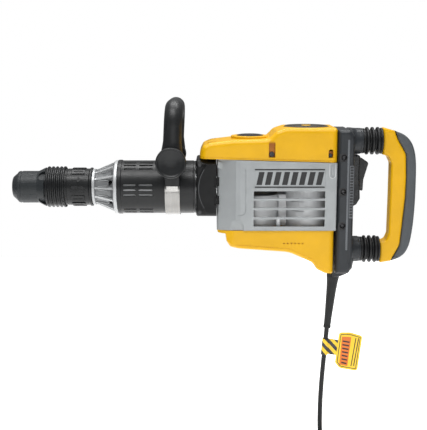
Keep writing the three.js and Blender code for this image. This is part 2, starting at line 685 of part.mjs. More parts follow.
function bellows(z, from, to) {
  const folds = 3;
  const pitch = (to - from - 4) / folds;
  const outside = Array.from({ length: folds }, (_, i) => [
    [from + 2 + i * pitch, 21.5], [from + 2 + (i + 0.5) * pitch, 25.2],
  ]).flat();
  return turned('x', [
    [from, 12], [from, 22.5], ...outside, [to - 2, 21.5], [to, 22.5], [to, 12],
  ], 18, [0, 0, z]);
}

function guideRod(z, end) {
  return turned('x', [[602, 0], [602, 7], [603, 8], [end + 15, 8], [end + 15, 0]], 14, [0, 0, z]);
}

// ---------- cord ----------

const TAG = { low: -320, high: -289, x: 574.7 };
const ROUTE = [
  [577.3, 0, -267.9], [575.8, 0, -290], [573.6, 0, -318], [571.4, 0, -347], [569.4, 0, -380],
  [568.2, 0, -410], [568, 0, -435], [568, 0, -450], [568, -2.9, -464.5], [568, -11.1, -476.9],
  [568, -22, -484.5],
];

function cordGuard() {
  const tip = new THREE.Vector3(577.5, 0, -267.5);
  const stretch = tip.distanceTo(new THREE.Vector3(GUARD.x, 0, GUARD.top));
  const body = turned('z', [
    [0, 0], [0, GUARD.r], [4, GUARD.r], [14, 11.6], [30, 9.4], [stretch - 12, 6.6], [stretch - 2, 6.3],
    [stretch, 5.6], [stretch, 0],
  ], 16);
  body.rotateX(Math.PI);
  body.rotateY(Math.atan2(GUARD.x - tip.x, -tip.z + GUARD.top));
  return body.translate(GUARD.x, 0, GUARD.top);
}

function cordCoil() {
  const { x, y, mean, half, floor, height } = COIL;
  const [low, top] = [floor + 1.3, floor + height - 1.3];
  const [inner, outer] = [mean - half, mean + half];
  return turned('z', [
    [low, inner + 5], [low, outer - 5], [low + 6, outer], [top - 6.7, outer],
    [top, outer - 6], [top, inner + 6], [top - 6.7, inner], [low + 6, inner],
  ], 22, [x, y, 0]);
}

const PLUG = { x: 435.6, y: COIL.y - 63.5, z: COIL.floor + 12 };
const TAIL = [
  [482.4, PLUG.y, COIL.floor + 4.8], [468, PLUG.y, COIL.floor + 4.8], [452, PLUG.y, COIL.floor + 7],
  [436.8, PLUG.y, PLUG.z - 0.6],
];

function mainsPlug() {
  const { x, y, z } = PLUG;
  const body = slab('xy', outline([
    [x - 44, y - 17, 6], [x - 16, y - 18, 12], [x, y - 7], [x, y + 7], [x - 16, y + 18, 12],
    [x - 44, y + 17, 6],
  ]), z - 12, z + 12, 3, 2, 3);
  const pins = [-9.5, 9.5].map((side) => turned('x', [
    [x - 63, 0], [x - 63, 1.6], [x - 62, 2.4], [x - 40, 2.4], [x - 40, 0]], 12, [0, y + side, z]));
  return union(body, ...pins);
}

function cordTag() {
  const middle = (TAG.low + TAG.high) / 2;
  const half = (TAG.high - TAG.low) / 2;
  const slope = 0.079;                // the cord's lean where the tag is looped round it
  const loop = ring('z', -half, half, CORD_R + 1.9, CORD_R + 0.6, 20);
  const collar = loop.rotateY(slope).translate(TAG.x, 0, middle);
  const strip = slab('xz', outline([
    [TAG.x + 5.7 - slope * half, TAG.low], [604, TAG.low - 3], [604, TAG.high - 3],
    [TAG.x + 5.7 + slope * half, TAG.high],
  ]), -0.7, 0.7);
  const label = slab('xz', outline([
    [594.5, -336, 3], [603, -347, 12], [637, -353, 5], [645, -284, 5], [622, -277, 14], [601, -277, 3],
  ]), -0.7, 0.7, 0, 2, 3);
  return union(collar, strip, label);
}

// ---------- assembly ----------

add('dust_cap', dustCap(), ...RUBBER);
add('tool_holder', toolHolder(), ...STEEL);
add('lock_segment_left', lockSegment(-1), ...STEEL);
add('lock_segment_right', lockSegment(1), ...STEEL);
add('lock_sleeve', lockSleeve(), ...BLACK);
add('lock_spring', lockSpring(), ...STEEL);
add('index_collar', indexCollar(), ...BLACK);
add('nose_cone', noseCone(), ...SILVER);
add('barrel_sleeve', barrelSleeve(), ...BLACK);
add('cylinder_tube', cylinderTube(), ...STEEL);
add('front_flange', frontFlange(), ...BLACK);
add('beat_piece', beatPiece(), ...STEEL);
add('ram', ram(), ...STEEL);
add('piston', piston(), ...STEEL);
add('wrist_pin', rod('z', -9.5, 9.5, 4.4, 16, [WRIST_X, 0, 0]), ...STEEL);
add('connecting_rod', connectingRod(), ...STEEL);
add('crankshaft', crankshaft(), ...STEEL);
add('crank_gear', crankGear(), ...STEEL);
add('crank_bearing_lower', bearing(CRANK_X, 21, 30, 20, 9 + GAP), ...STEEL);
add('crank_bearing_upper', bearing(CRANK_X, 67, 77, 20, 9 + GAP), ...STEEL);
add('idler_gear', idlerGear(), ...STEEL);
add('rotor_shaft', rotorShaft(), ...STEEL);
add('rotor_core', rotorCore(), 0x8a5a34, 0.5, 0.4);
add('cooling_fan', coolingFan(), ...BLACK);
add('stator', stator(), 0x74787c, 0.5, 0.8);
add('motor_can', motorCan(), ...SILVER);
add('rotor_bearing_lower', bearing(MOTOR_X, -114, -106, 13, 5.5 + GAP), ...STEEL);
add('rotor_bearing_upper', bearing(MOTOR_X, 13, 22, 13, 5.5 + GAP), ...STEEL);
add('brush_left', brush(-1), 0x2b2b2b, 0.8);
add('brush_right', brush(1), 0x2b2b2b, 0.8);
add('gear_housing', gearHousing(), ...SILVER);
add('top_cover', topCover(), ...YELLOW);
add('crank_cap', crankCap(), ...BLACK);
add('vent_cap', ventCap(), ...GREY);
add('bottom_housing', bottomHousing(), ...YELLOW);
add('rear_housing_left', rearHousing(-1), ...GREY);
add('rear_housing_right', rearHousing(1), ...GREY);
['upper', 'middle', 'lower'].forEach((place, i) => {
  add(`housing_screw_${place}`, housingScrew(SCREW_HEIGHTS[i]), ...STEEL);
});
add('switch_bezel', switchBezel(), ...BLACK);
add('rocker_switch', rockerSwitch(), ...BLACK);
add('switch_body', switchBody(), ...BLACK);
add('clamp_saddle', clampSaddle(), ...BLACK);
add('clamp_band', clampBand(), ...STEEL);
add('clamp_bolt', clampBolt(), ...STEEL);
add('side_handle', sideHandle(), ...BLACK);
add('clamp_knob', clampKnob(), ...BLACK);
add('handle_frame', handleFrame(), ...YELLOW);
add('rear_grip', rearGrip(), ...GREY);
add('bellows_upper', bellows(STUB.upper_z, STUB.upper_end + GAP, HANDLE.upper_x - GAP), ...RUBBER);
add('bellows_lower', bellows(STUB.lower_z, STUB.lower_end + GAP, HANDLE.lower_x - GAP), ...RUBBER);
add('guide_rod_upper', guideRod(STUB.upper_z, HANDLE.upper_x), ...STEEL);
add('guide_rod_lower', guideRod(STUB.lower_z, HANDLE.lower_x), ...STEEL);
add('cord_guard', cordGuard(), ...RUBBER);
add('power_cord', tube(ROUTE, CORD_R, 8, 14), ...RUBBER);
add('cord_coil', cordCoil(), ...RUBBER);
add('cord_tail', tube(TAIL, CORD_R, 8, 4), ...RUBBER);
add('mains_plug', mainsPlug(), ...RUBBER);
add('cord_tag', cordTag(), ...YELLOW);

export default pieces;
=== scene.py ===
import math

import bmesh
import bpy
from mathutils import Matrix, Vector


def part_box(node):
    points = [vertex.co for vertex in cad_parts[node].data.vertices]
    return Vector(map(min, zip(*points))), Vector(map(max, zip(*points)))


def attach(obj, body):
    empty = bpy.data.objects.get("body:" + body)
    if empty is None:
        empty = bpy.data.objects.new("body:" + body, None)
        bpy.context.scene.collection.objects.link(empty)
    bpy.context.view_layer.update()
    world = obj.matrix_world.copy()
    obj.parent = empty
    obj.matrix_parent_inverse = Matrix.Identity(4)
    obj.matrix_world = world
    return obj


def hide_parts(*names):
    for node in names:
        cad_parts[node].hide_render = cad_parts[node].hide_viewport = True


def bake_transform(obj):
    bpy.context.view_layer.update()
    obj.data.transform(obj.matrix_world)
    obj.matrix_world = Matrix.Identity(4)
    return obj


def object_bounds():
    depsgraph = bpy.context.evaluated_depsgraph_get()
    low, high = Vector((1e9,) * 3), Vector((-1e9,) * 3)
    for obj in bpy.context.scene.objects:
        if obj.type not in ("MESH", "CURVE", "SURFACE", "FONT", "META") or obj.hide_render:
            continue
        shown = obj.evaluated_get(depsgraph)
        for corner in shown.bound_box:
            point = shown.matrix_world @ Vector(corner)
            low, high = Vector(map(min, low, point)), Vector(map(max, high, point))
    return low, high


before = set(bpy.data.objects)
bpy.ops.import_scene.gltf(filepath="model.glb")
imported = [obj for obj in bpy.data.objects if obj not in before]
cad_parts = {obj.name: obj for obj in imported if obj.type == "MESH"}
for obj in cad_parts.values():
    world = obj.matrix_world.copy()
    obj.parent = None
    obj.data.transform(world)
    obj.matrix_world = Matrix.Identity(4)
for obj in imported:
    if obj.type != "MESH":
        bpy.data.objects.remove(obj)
CAD_LOW, CAD_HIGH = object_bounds()
MM = 0.001                      # every size below is in millimetres

# ---------------------------------------------------------------- shapes

def fresh(name, verts, faces):
    """A closed mesh object from corners in millimetres."""
    mesh = bpy.data.meshes.new(name)
    mesh.from_pydata([[c * MM for c in v] for v in verts], [], faces)
    bm = bmesh.new()
    bm.from_mesh(mesh)
    bmesh.ops.remove_doubles(bm, verts=bm.verts, dist=2e-6)
    bmesh.ops.recalc_face_normals(bm, faces=bm.faces)
    bm.to_mesh(mesh)
    bm.free()
    obj = bpy.data.objects.new(name, mesh)
    bpy.context.scene.collection.objects.link(obj)
    return obj


def directions(corners, i):
    here = Vector(corners[i][:2])
    back = Vector(corners[i - 1][:2]) - here
    ahead = Vector(corners[(i + 1) % len(corners)][:2]) - here
    return here, back, ahead


def rounded(corners, steps=6):
    """The outline with an arc at each corner (u, v, radius)."""
    line = []
    for i, corner in enumerate(corners):
        here, back, ahead = directions(corners, i)
        radius = corner[2] if len(corner) > 2 else 0
        if radius <= 0 or back.length < 1e-6 or ahead.length < 1e-6:
            line.append(tuple(here))
            continue
        a, b = back.normalized(), ahead.normalized()
        half = a.angle(b) / 2
        if half > math.radians(89.5) or half < math.radians(2):
            line.append(tuple(here))
            continue
        reach = min(radius / math.tan(half), back.length * 0.49, ahead.length * 0.49)
        radius = reach * math.tan(half)
        centre = here + (a + b).normalized() * (radius / math.sin(half))
        start, end = here + a * reach - centre, here + b * reach - centre
        first = math.atan2(start.y, start.x)
        sweep = (math.atan2(end.y, end.x) - first + math.pi) % (2 * math.pi) - math.pi
        for k in range(steps + 1):
            angle = first + sweep * k / steps
            line.append((centre.x + radius * math.cos(angle), centre.y + radius * math.sin(angle)))
    return line


def area(corners):
    return sum(corners[i - 1][0] * c[1] - c[0] * corners[i - 1][1] for i, c in enumerate(corners)) / 2


def inset(corners, depth):
    """The outline moved inwards by depth, its corner arcs kept concentric."""
    if area(corners) < 0:
        corners = corners[::-1]
    moved = []
    for i, corner in enumerate(corners):
        here, back, ahead = directions(corners, i)
        a, b = -back.normalized(), ahead.normalized()
        na, nb = Vector((-a.y, a.x)), Vector((-b.y, b.x))
        place = here + (na + nb) * (depth / (1 + na.dot(nb)))
        radius = corner[2] if len(corner) > 2 else 0
        if radius > 0:
            turn = a.x * b.y - a.y * b.x
            radius = max(radius - depth, 0.02) if turn > 0 else radius + depth
        moved.append((place.x, place.y, radius))
    return moved


def rect(u, v, radius=0):
    """The corners of a rectangle that spans two extents."""
    return [(u[0], v[0], radius), (u[1], v[0], radius), (u[1], v[1], radius), (u[0], v[1], radius)]


def mirrored(half):
    """A plan outline from the half of it at -Y."""
    return half + [(x, -y, *edge) for x, y, *edge in half[::-1]]


def flank(side, inner, outer):
    """An extent along Y on one side of the middle, its lower end first."""
    return sorted((side * inner, side * outer))


PLANES = {
    "xy": lambda u, v, w: (u, v, w),
    "xz": lambda u, v, w: (u, w, v),
    "yz": lambda u, v, w: (w, u, v),
}


def slab(name, plane, corners, low, high, rounding=0.0, steps=4, corner_steps=6, rims=(True, True)):
    """An outline given thickness across its plane, with rounded rims."""
    if area(corners) < 0:
        corners = corners[::-1]
    levels = []
    for k in range(steps + 1 if rounding else 1):
        angle = math.pi / 2 * k / steps
        levels.append((rounding * (1 - math.sin(angle)), rounding * (1 - math.cos(angle))))
    bottom = levels if rims[0] else [(0, 0)]
    top = levels if rims[1] else [(0, 0)]
    rings = [(depth, low + rise) for depth, rise in bottom]
    rings += [(depth, high - rise) for depth, rise in reversed(top)]
    verts, count = [], 0
    for depth, w in rings:
        line = rounded(inset(corners, depth), corner_steps)
        count = len(line)
        verts += [PLANES[plane](u, v, w) for u, v in line]
    faces = [list(range(count))[::-1], list(range(count * (len(rings) - 1), count * len(rings)))]
    for r in range(len(rings) - 1):
        for i in range(count):
            j = (i + 1) % count
            faces.append([r * count + i, r * count + j, (r + 1) * count + j, (r + 1) * count + i])
    return fresh(name, verts, faces)


AXES = {
    "x": lambda a, c, s: (a, c, s),
    "y": lambda a, c, s: (s, a, c),
    "z": lambda a, c, s: (c, s, a),
}


def turned(name, axis, corners, turns=96, at=(0, 0, 0), steps=4):
    """A turned body; its profile corners are (along the axis, radius, rounding)."""
    profile = rounded(corners, steps)
    verts, rings = [], []
    for along, radius in profile:
        if radius < 1e-4:
            rings.append([len(verts)] * turns)
            verts.append(AXES[axis](along, 0, 0))
            continue
        rings.append(list(range(len(verts), len(verts) + turns)))
        for k in range(turns):
            angle = 2 * math.pi * k / turns
            verts.append(AXES[axis](along, radius * math.cos(angle), radius * math.sin(angle)))
    faces = []
    for i, ring in enumerate(rings):
        after = rings[(i + 1) % len(rings)]
        if ring[0] == ring[1] and after[0] == after[1]:
            continue
        for k in range(turns):
            n = (k + 1) % turns
            quad = [ring[k], ring[n], after[n], after[k]]
            faces.append([v for j, v in enumerate(quad) if v != quad[j - 1]])
    verts = [[p + q for p, q in zip(v, at)] for v in verts]
    return fresh(name, verts, faces)


def rod(name, axis, low, high, radius, at=(0, 0, 0), turns=48, edge=0.0):
    return turned(name, axis, [(low, 0), (low, radius, edge), (high, radius, edge), (high, 0)], turns, at,
                  2)


def hoop(name, axis, low, high, inner, outer, edge=0.0, turns=48, at=(0, 0, 0), steps=4):
    """A turned ring between two radii, its outer edges rounded."""
    section = [(low, inner), (low, outer, edge), (high, outer, edge), (high, inner)]
    return turned(name, axis, section, turns, at, steps)


def block(name, x, y, z):
    return slab(name, "xy", rect(x, y), *z)


def swept(name, path, radius, sides=32, squash=1.0):
    """A round tube along points, closed at both ends; radius may change along it."""
    points = [Vector(p) for p in path]
    radii = radius if isinstance(radius, list) else [radius] * len(points)
    tangent = (points[1] - points[0]).normalized()
    side = tangent.orthogonal().normalized()
    verts = []
    for i, p in enumerate(points):
        ahead = points[min(i + 1, len(points) - 1)] - points[max(i - 1, 0)]
        turn = tangent.rotation_difference(ahead.normalized())
        side = (turn @ side).normalized()
        tangent = ahead.normalized()
        other = tangent.cross(side)
        for k in range(sides):
            angle = 2 * math.pi * k / sides
            verts.append(p + (side * math.cos(angle) + other * math.sin(angle) * squash) * radii[i])
    faces = [list(range(sides))[::-1], list(range(len(verts) - sides, len(verts)))]
    for r in range(len(points) - 1):
        for k in range(sides):
            n = (k + 1) % sides
            faces.append([r * sides + k, r * sides + n, (r + 1) * sides + n, (r + 1) * sides + k])
    return fresh(name, verts, faces)


def smooth_line(points, steps=8):
    """Catmull-Rom line through the points."""
    p = [Vector(q) for q in points]
    p = [2 * p[0] - p[1]] + p + [2 * p[-1] - p[-2]]
    line = []
    for i in range(1, len(p) - 2):
        for k in range(steps):
            t = k / steps
            line.append(0.5 * ((2 * p[i]) + (p[i + 1] - p[i - 1]) * t
                               + (2 * p[i - 1] - 5 * p[i] + 4 * p[i + 1] - p[i + 2]) * t ** 2
                               + (3 * p[i] - p[i - 1] - 3 * p[i + 1] + p[i + 2]) * t ** 3))
    return line + [p[-2]]

# ---------------------------------------------------------------- joining, cutting and finishing

def applied(obj):
    graph = bpy.context.evaluated_depsgraph_get()
    mesh = bpy.data.meshes.new_from_object(obj.evaluated_get(graph))
    old = obj.data
    obj.modifiers.clear()
    obj.data = mesh
    bpy.data.meshes.remove(old)
    return obj


def combine(obj, others, operation):
    """One boolean step for each body; a list counts as one body."""
    others = [gathered("tools", other) if isinstance(other, list) else other for other in others]
    for other in others:
        step = obj.modifiers.new("join", "BOOLEAN")
        step.operation = operation
        step.object = other
        step.solver = "MANIFOLD"
    applied(obj)
    for other in others:
        bpy.data.objects.remove(other)
    return obj


def cut(obj, *tools):
    return combine(obj, tools, "DIFFERENCE")


def join(obj, *others):
    return combine(obj, others, "UNION")


def common(obj, *others):
    return combine(obj, others, "INTERSECT")


def gathered(name, parts):
    """Separate bodies that don't touch, kept in one mesh."""
    bm = bmesh.new()
    for part in parts:
        bm.from_mesh(part.data)
    mesh = bpy.data.meshes.new(name)
    bm.to_mesh(mesh)
    bm.free()
    for part in parts:
        bpy.data.objects.remove(part)
    obj = bpy.data.objects.new(name, mesh)
    bpy.context.scene.collection.objects.link(obj)
    return obj


def copied(obj):
    copy = bpy.data.objects.new("copy", obj.data.copy())
    bpy.context.scene.collection.objects.link(copy)
    return copy


def spin(obj, axis, angle, about=(0, 0, 0)):
    centre = Matrix.Translation(Vector(about) * MM)
    obj.data.transform(centre @ Matrix.Rotation(math.radians(angle), 4, axis) @ centre.inverted())
    return obj


def shift(obj, by):
    obj.data.transform(Matrix.Translation(Vector(by) * MM))
    return obj


def polish(obj, bevel=0.5, segments=2, angle=38):
    """Merges slivers, rounds the sharp edges and smooths the shading."""
    bm = bmesh.new()
    bm.from_mesh(obj.data)
    bmesh.ops.remove_doubles(bm, verts=bm.verts, dist=1e-5)
    bmesh.ops.dissolve_limit(bm, angle_limit=math.radians(0.4), verts=bm.verts, edges=bm.edges)
    bm.to_mesh(obj.data)
    bm.free()
    if bevel:
        step = obj.modifiers.new("edge", "BEVEL")
        step.width = bevel * MM
        step.segments = segments
        step.limit_method = "ANGLE"
        step.angle_limit = math.radians(angle)
        applied(obj)
    bm = bmesh.new()
    bm.from_mesh(obj.data)
    for face in bm.faces:
        face.smooth = True
    for edge in bm.edges:
        edge.smooth = len(edge.link_faces) == 2 and edge.calc_face_angle(0) < math.radians(44)
    bm.to_mesh(obj.data)
    bm.free()
    step = obj.modifiers.new("normals", "WEIGHTED_NORMAL")
    step.keep_sharp = True
    return applied(obj)


def paint(obj, finish):
    """The material goes on first: the cord is a curve, and its box is wrong when the material goes on later.
    """
    obj.data.materials.clear()
    obj.data.materials.append(finish)


def stand_in(obj, nodes):
    """A piece stands for the CAD nodes named, which are hidden."""
    if nodes:
        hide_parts(*([nodes] if isinstance(nodes, str) else nodes))
    return obj


def settle(obj, finish, nodes=(), body="housing"):
    paint(obj, finish)
    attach(obj, body)
    return stand_in(obj, nodes)


def bridge(obj, finish, node):
    """Paints a piece that runs from one body to another and bakes its place into its mesh; it is attached to
    neither.
    """
    paint(obj, finish)
    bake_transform(obj)
    return stand_in(obj, node)

# ---------------------------------------------------------------- materials

class Tree:
    """Short names for building a node material on object coordinates."""

    def __init__(self, name):
        self.material = bpy.data.materials.new(name)
        self.material.use_nodes = True
        self.nodes = self.material.node_tree.nodes
        self.links = self.material.node_tree.links
        self.shader = self.nodes["Principled BSDF"]
        self.place = self.nodes.new("ShaderNodeTexCoord").outputs["Object"]

    def link(self, a, b):
        self.links.new(a, b)

    def node(self, kind, **values):
        made = self.nodes.new(kind)
        for key, value in values.items():
            setattr(made, key, value)
        return made

    def stretched(self, scale):
        made = self.node("ShaderNodeMapping")
        made.inputs["Scale"].default_value = scale
        self.link(self.place, made.inputs["Vector"])
        return made.outputs["Vector"]

    def noise(self, scale, detail=3.0, place=None):
        made = self.node("ShaderNodeTexNoise")
        made.inputs["Scale"].default_value = scale
        made.inputs["Detail"].default_value = detail
        self.link(place or self.place, made.inputs["Vector"])
        return made.outputs["Fac"]

    def span(self, source, low, high, start=0.3, end=0.7):
        made = self.node("ShaderNodeMapRange")
        for key, value in (("From Min", start), ("From Max", end), ("To Min", low), ("To Max", high)):
            made.inputs[key].default_value = value
        self.link(source, made.inputs["Value"])
        return made.outputs["Result"]

    def mix(self, share, a, b):
        made = self.node("ShaderNodeMix", data_type="RGBA")
        self.link(share, made.inputs["Factor"])
        for socket, value in ((made.inputs[6], a), (made.inputs[7], b)):
            if hasattr(value, "links"):
                self.link(value, socket)
            else:
                socket.default_value = value
        return made.outputs[2]

    def math(self, operation, a, b=0.0):
        made = self.node("ShaderNodeMath", operation=operation)
        for socket, value in ((made.inputs[0], a), (made.inputs[1], b)):
            if hasattr(value, "links"):
                self.link(value, socket)
            else:
                socket.default_value = value
        return made.outputs[0]

    def bump(self, height, strength, distance):
        made = self.node("ShaderNodeBump")
        made.inputs["Strength"].default_value = strength
        made.inputs["Distance"].default_value = distance
        self.link(height, made.inputs["Height"])
        self.link(made.outputs["Normal"], self.shader.inputs["Normal"])


def shade(colour, factor):
    return (*[min(1.0, c * factor) for c in colour], 1.0)


def moulded(name, colour, roughness, grain=1500, height=0.35, mottle=0.08, metal=0.0, specular=0.5,
            coat=0.0):
    """Moulded or cast surface: fine grain, soft mottling and an uneven sheen."""
    t = Tree(name)
    t.shader.inputs["Metallic"].default_value = metal
    t.shader.inputs["Specular IOR Level"].default_value = specular
    t.shader.inputs["Coat Weight"].default_value = coat
    t.shader.inputs["Coat Roughness"].default_value = 0.25
    cloud = t.span(t.noise(26, 4), 0, 1, 0.35, 0.65)
    t.link(t.mix(cloud, shade(colour, 1 - mottle), shade(colour, 1 + mottle)),
           t.shader.inputs["Base Color"])
    t.link(t.span(t.noise(70, 5), roughness - 0.05, roughness + 0.06), t.shader.inputs["Roughness"])
    t.bump(t.noise(grain, 2), height, 0.0003)
    return t.material


def brushed(name, colour, roughness, along):
    """Metal with fine lines drawn across the given direction scales."""
    t = Tree(name)
    t.shader.inputs["Metallic"].default_value = 1.0
    lines = t.noise(1.0, 4, t.stretched(along))
    t.link(t.mix(t.span(lines, 0, 1), shade(colour, 0.82), shade(colour, 1.08)),
           t.shader.inputs["Base Color"])
    t.link(t.span(lines, roughness - 0.07, roughness + 0.1), t.shader.inputs["Roughness"])
    t.bump(lines, 0.25, 0.0001)
    return t.material


BLACK = moulded("black_nylon", (0.0085, 0.0092, 0.0098), 0.34, 1700, 0.30, specular=0.30)
SMOOTH_BLACK = moulded("smooth_black", (0.0060, 0.0065, 0.0070), 0.28, 900, 0.10, specular=0.30)
FLANGE_BLACK = moulded("flange_black", (0.0045, 0.0048, 0.0052), 0.40, 1900, 0.12, 0.04, specular=0.20)
# lighter grey for the flange's raised arc lip: a painted highlight
LIP_HIGHLIGHT_GREY = moulded("lip_highlight_grey", (0.060, 0.063, 0.066), 0.4, 1500, 0.2, specular=0.3)
GREY = moulded("dark_grey_nylon", (0.0215, 0.0245, 0.0280), 0.36, 1500, 0.30, specular=0.30)
CAP_GREY = moulded("slate_rubber", (0.0170, 0.0200, 0.0220), 0.42, 1100, 0.35, specular=0.34)
RUBBER = moulded("black_rubber", (0.0070, 0.0074, 0.0078), 0.46, 1300, 0.45, specular=0.32)
GRIP_BLACK = moulded("soft_black", (0.0090, 0.0098, 0.0105), 0.38, 1500, 0.35, specular=0.34)
GRIP = moulded("grip_rubber", (0.0780, 0.0860, 0.0930), 0.56, 2300, 0.70, specular=0.28)
YELLOW = moulded("yellow_nylon", (0.68, 0.372, 0.0020), 0.34, 1800, 0.20, 0.035, specular=0.28)
SILVER = moulded("silver_paint", (0.285, 0.300, 0.305), 0.38, 2100, 0.25, 0.04, metal=0.45)
# the nose cone's bright casting colour, also used for the barrel liner and, as a painted highlight, on the
# housing's groove rims
BRIGHT_CAST_AND_RIM_HIGHLIGHT = moulded("bright_casting_and_rim_highlight", (0.43, 0.44, 0.445), 0.38, 1300, 0.25, 0.06, metal=0.35)
# a darker copy of the casting colour: painted shade on the nose cone's recessed body
CAST_SHADE = moulded("casting_painted_shade", (0.17, 0.175, 0.18), 0.42, 1300, 0.25, 0.08, metal=0.35)
INNER_CAST = moulded("field_casting", (0.56, 0.57, 0.58), 0.45, 700, 0.3, 0.08, metal=0.15)
# darker yellow for the floors of the cover's screw notches: painted shade in the recess
NOTCH_SHADE_YELLOW = moulded("shaded_recess", (0.45, 0.16, 0.006), 0.5, 1500, 0.3)
VENT_GREY = moulded("vent_nylon", (0.040, 0.034, 0.024), 0.5, 1500, 0.3, specular=0.3)
# the air strips' grey, also used for the lighter strip on each flank as a painted highlight
STRIP_GREY_AND_HIGHLIGHT = moulded("strip_nylon_and_highlight", (0.115, 0.123, 0.133), 0.42, 1500, 0.3, specular=0.3)
CARBON = moulded("carbon", (0.02, 0.02, 0.02), 0.7, 800, 0.5)
WINDING = moulded("winding", (0.32, 0.12, 0.035), 0.45, 600, 0.6, 0.2, metal=0.3)
# black for printed marks; also the painted shade in the rear housing's screw recesses and behind the air
# holes
PRINT_AND_SHADE = moulded("black_print_and_shade", (0.008, 0.008, 0.009), 0.45, 1500, 0.1)
STEEL = brushed("machined_steel", (0.56, 0.57, 0.58), 0.30, (60, 900, 900))
BAND = brushed("brushed_band", (0.30, 0.295, 0.285), 0.20, (1500, 25, 25))
DARK_STEEL = brushed("blackened_screw", (0.050, 0.050, 0.052), 0.30, (400, 60, 400))


def hazard_tag():
    """Diagonal black and yellow bars with a plain yellow border."""
    t = Tree("hazard_tag")
    split = t.node("ShaderNodeSeparateXYZ")
    t.link(t.place, split.inputs[0])
    x, z = split.outputs[0], split.outputs[2]
    slant = t.math("ADD", x, t.math("MULTIPLY", z, 0.9))
    bars = t.math("GREATER_THAN", t.math("FRACT", t.math("MULTIPLY", slant, 1 / 0.0165)), 0.5)
    scuff = t.span(t.noise(150, 4), 0, 1, 0.3, 0.7)
    yellow = t.mix(scuff, (0.78, 0.50, 0.012, 1), (0.92, 0.62, 0.02, 1))
    black = t.mix(scuff, (0.012, 0.012, 0.012, 1), (0.03, 0.03, 0.03, 1))
    t.link(t.mix(bars, black, yellow), t.shader.inputs["Base Color"])
    t.link(t.span(t.noise(90, 3), 0.3, 0.42), t.shader.inputs["Roughness"])
    t.bump(t.noise(600, 2), 0.15, 0.0002)
    return t.material


HAZARD = hazard_tag()
TAG_YELLOW = moulded("tag_yellow", (0.88, 0.58, 0.015), 0.36, 700, 0.15, 0.05)
TAG_ORANGE = moulded("tag_orange", (0.70, 0.16, 0.008), 0.4, 700, 0.15, 0.08)

# ---------------------------------------------------------------- camera, floor and light

SCENE = bpy.context.scene
LENS = 71.65                    # millimetres on a 36 mm sensor
CAMERA_AT, AIM = (0.3643, -1.55, 0.218), (0.3643, 0.0, -0.0525)
FLOOR_SIZE, FLOOR_GLOW = 3.4, 0.72
FLOOR_GAP = 0.0005              # below the lowest point of the object


def look_from(obj, place, target):
    obj.location = place
    obj.rotation_euler = (Vector(target) - Vector(place)).to_track_quat("-Z", "Y").to_euler()


camera = bpy.data.objects.new("camera", bpy.data.cameras.new("camera"))
SCENE.collection.objects.link(camera)
camera.data.sensor_width = 36
camera.data.lens = LENS
camera.data.clip_end = 30
look_from(camera, CAMERA_AT, AIM)
SCENE.camera = camera
SCENE.view_settings.view_transform = "Standard"
SCENE.view_settings.look = "None"


def floor():
    bpy.ops.mesh.primitive_plane_add(size=FLOOR_SIZE, location=(0.4, 0, CAD_LOW.z - FLOOR_GAP))
    plane = bpy.context.object
    plane.name = "floor"
    t = Tree("pale_floor")
    t.link(t.mix(t.noise(3), (0.93, 0.93, 0.93, 1), (0.95, 0.95, 0.95, 1)), t.shader.inputs["Base Color"])
    t.shader.inputs["Roughness"].default_value = 0.9
    t.shader.inputs["Specular IOR Level"].default_value = 0.1
    t.shader.inputs["Emission Color"].default_value = (1, 1, 1, 1)
    t.shader.inputs["Emission Strength"].default_value = FLOOR_GLOW
    plane.data.materials.append(t.material)


def sky():
    """White to the camera; for lighting, bright overhead and dimmer low down."""
    world = bpy.data.worlds.new("studio")
    SCENE.world = world
    world.use_nodes = True
    nodes, links = world.node_tree.nodes, world.node_tree.links
    back = nodes["Background"]
    place = nodes.new("ShaderNodeTexCoord")
    split = nodes.new("ShaderNodeSeparateXYZ")
    ramp = nodes.new("ShaderNodeValToRGB")
    ramp.color_ramp.elements[0].position = 0.40
    ramp.color_ramp.elements[0].color = (0.14, 0.14, 0.14, 1)
    ramp.color_ramp.elements[1].position = 0.85
    ramp.color_ramp.elements[1].color = (0.60, 0.60, 0.60, 1)
    middle = ramp.color_ramp.elements.new(0.55)
    middle.color = (0.17, 0.17, 0.175, 1)
    half = nodes.new("ShaderNodeMapRange")
    half.inputs["From Min"].default_value = -1
    path = nodes.new("ShaderNodeLightPath")
    mix = nodes.new("ShaderNodeMix")
    mix.data_type = "RGBA"
    mix.inputs[7].default_value = (1, 1, 1, 1)
    links.new(place.outputs["Generated"], split.inputs[0])
    links.new(split.outputs[2], half.inputs["Value"])
    links.new(half.outputs[0], ramp.inputs[0])
    links.new(path.outputs["Is Camera Ray"], mix.inputs["Factor"])
    links.new(ramp.outputs[0], mix.inputs[6])
    links.new(mix.outputs[2], back.inputs["Color"])
    back.inputs["Strength"].default_value = 1.0


def softbox(name, place, target, size, power):
    lamp = bpy.data.objects.new(name, bpy.data.lights.new(name, "AREA"))
    SCENE.collection.objects.link(lamp)
    lamp.data.shape = "RECTANGLE"
    lamp.data.size, lamp.data.size_y = size
    lamp.data.energy = power
    look_from(lamp, place, target)


floor()
sky()
softbox("key", (0.15, -0.75, 1.6), (0.36, 0, -0.05), (1.5, 0.45), 24)
softbox("top", (0.45, 0.40, 1.5), (0.40, 0, 0), (1.4, 0.5), 19)
softbox("low_front", (0.5, -1.9, -0.25), (0.4, 0, -0.1), (1.6, 0.3), 6)

# ---------------------------------------------------------------- cord, coil and plug

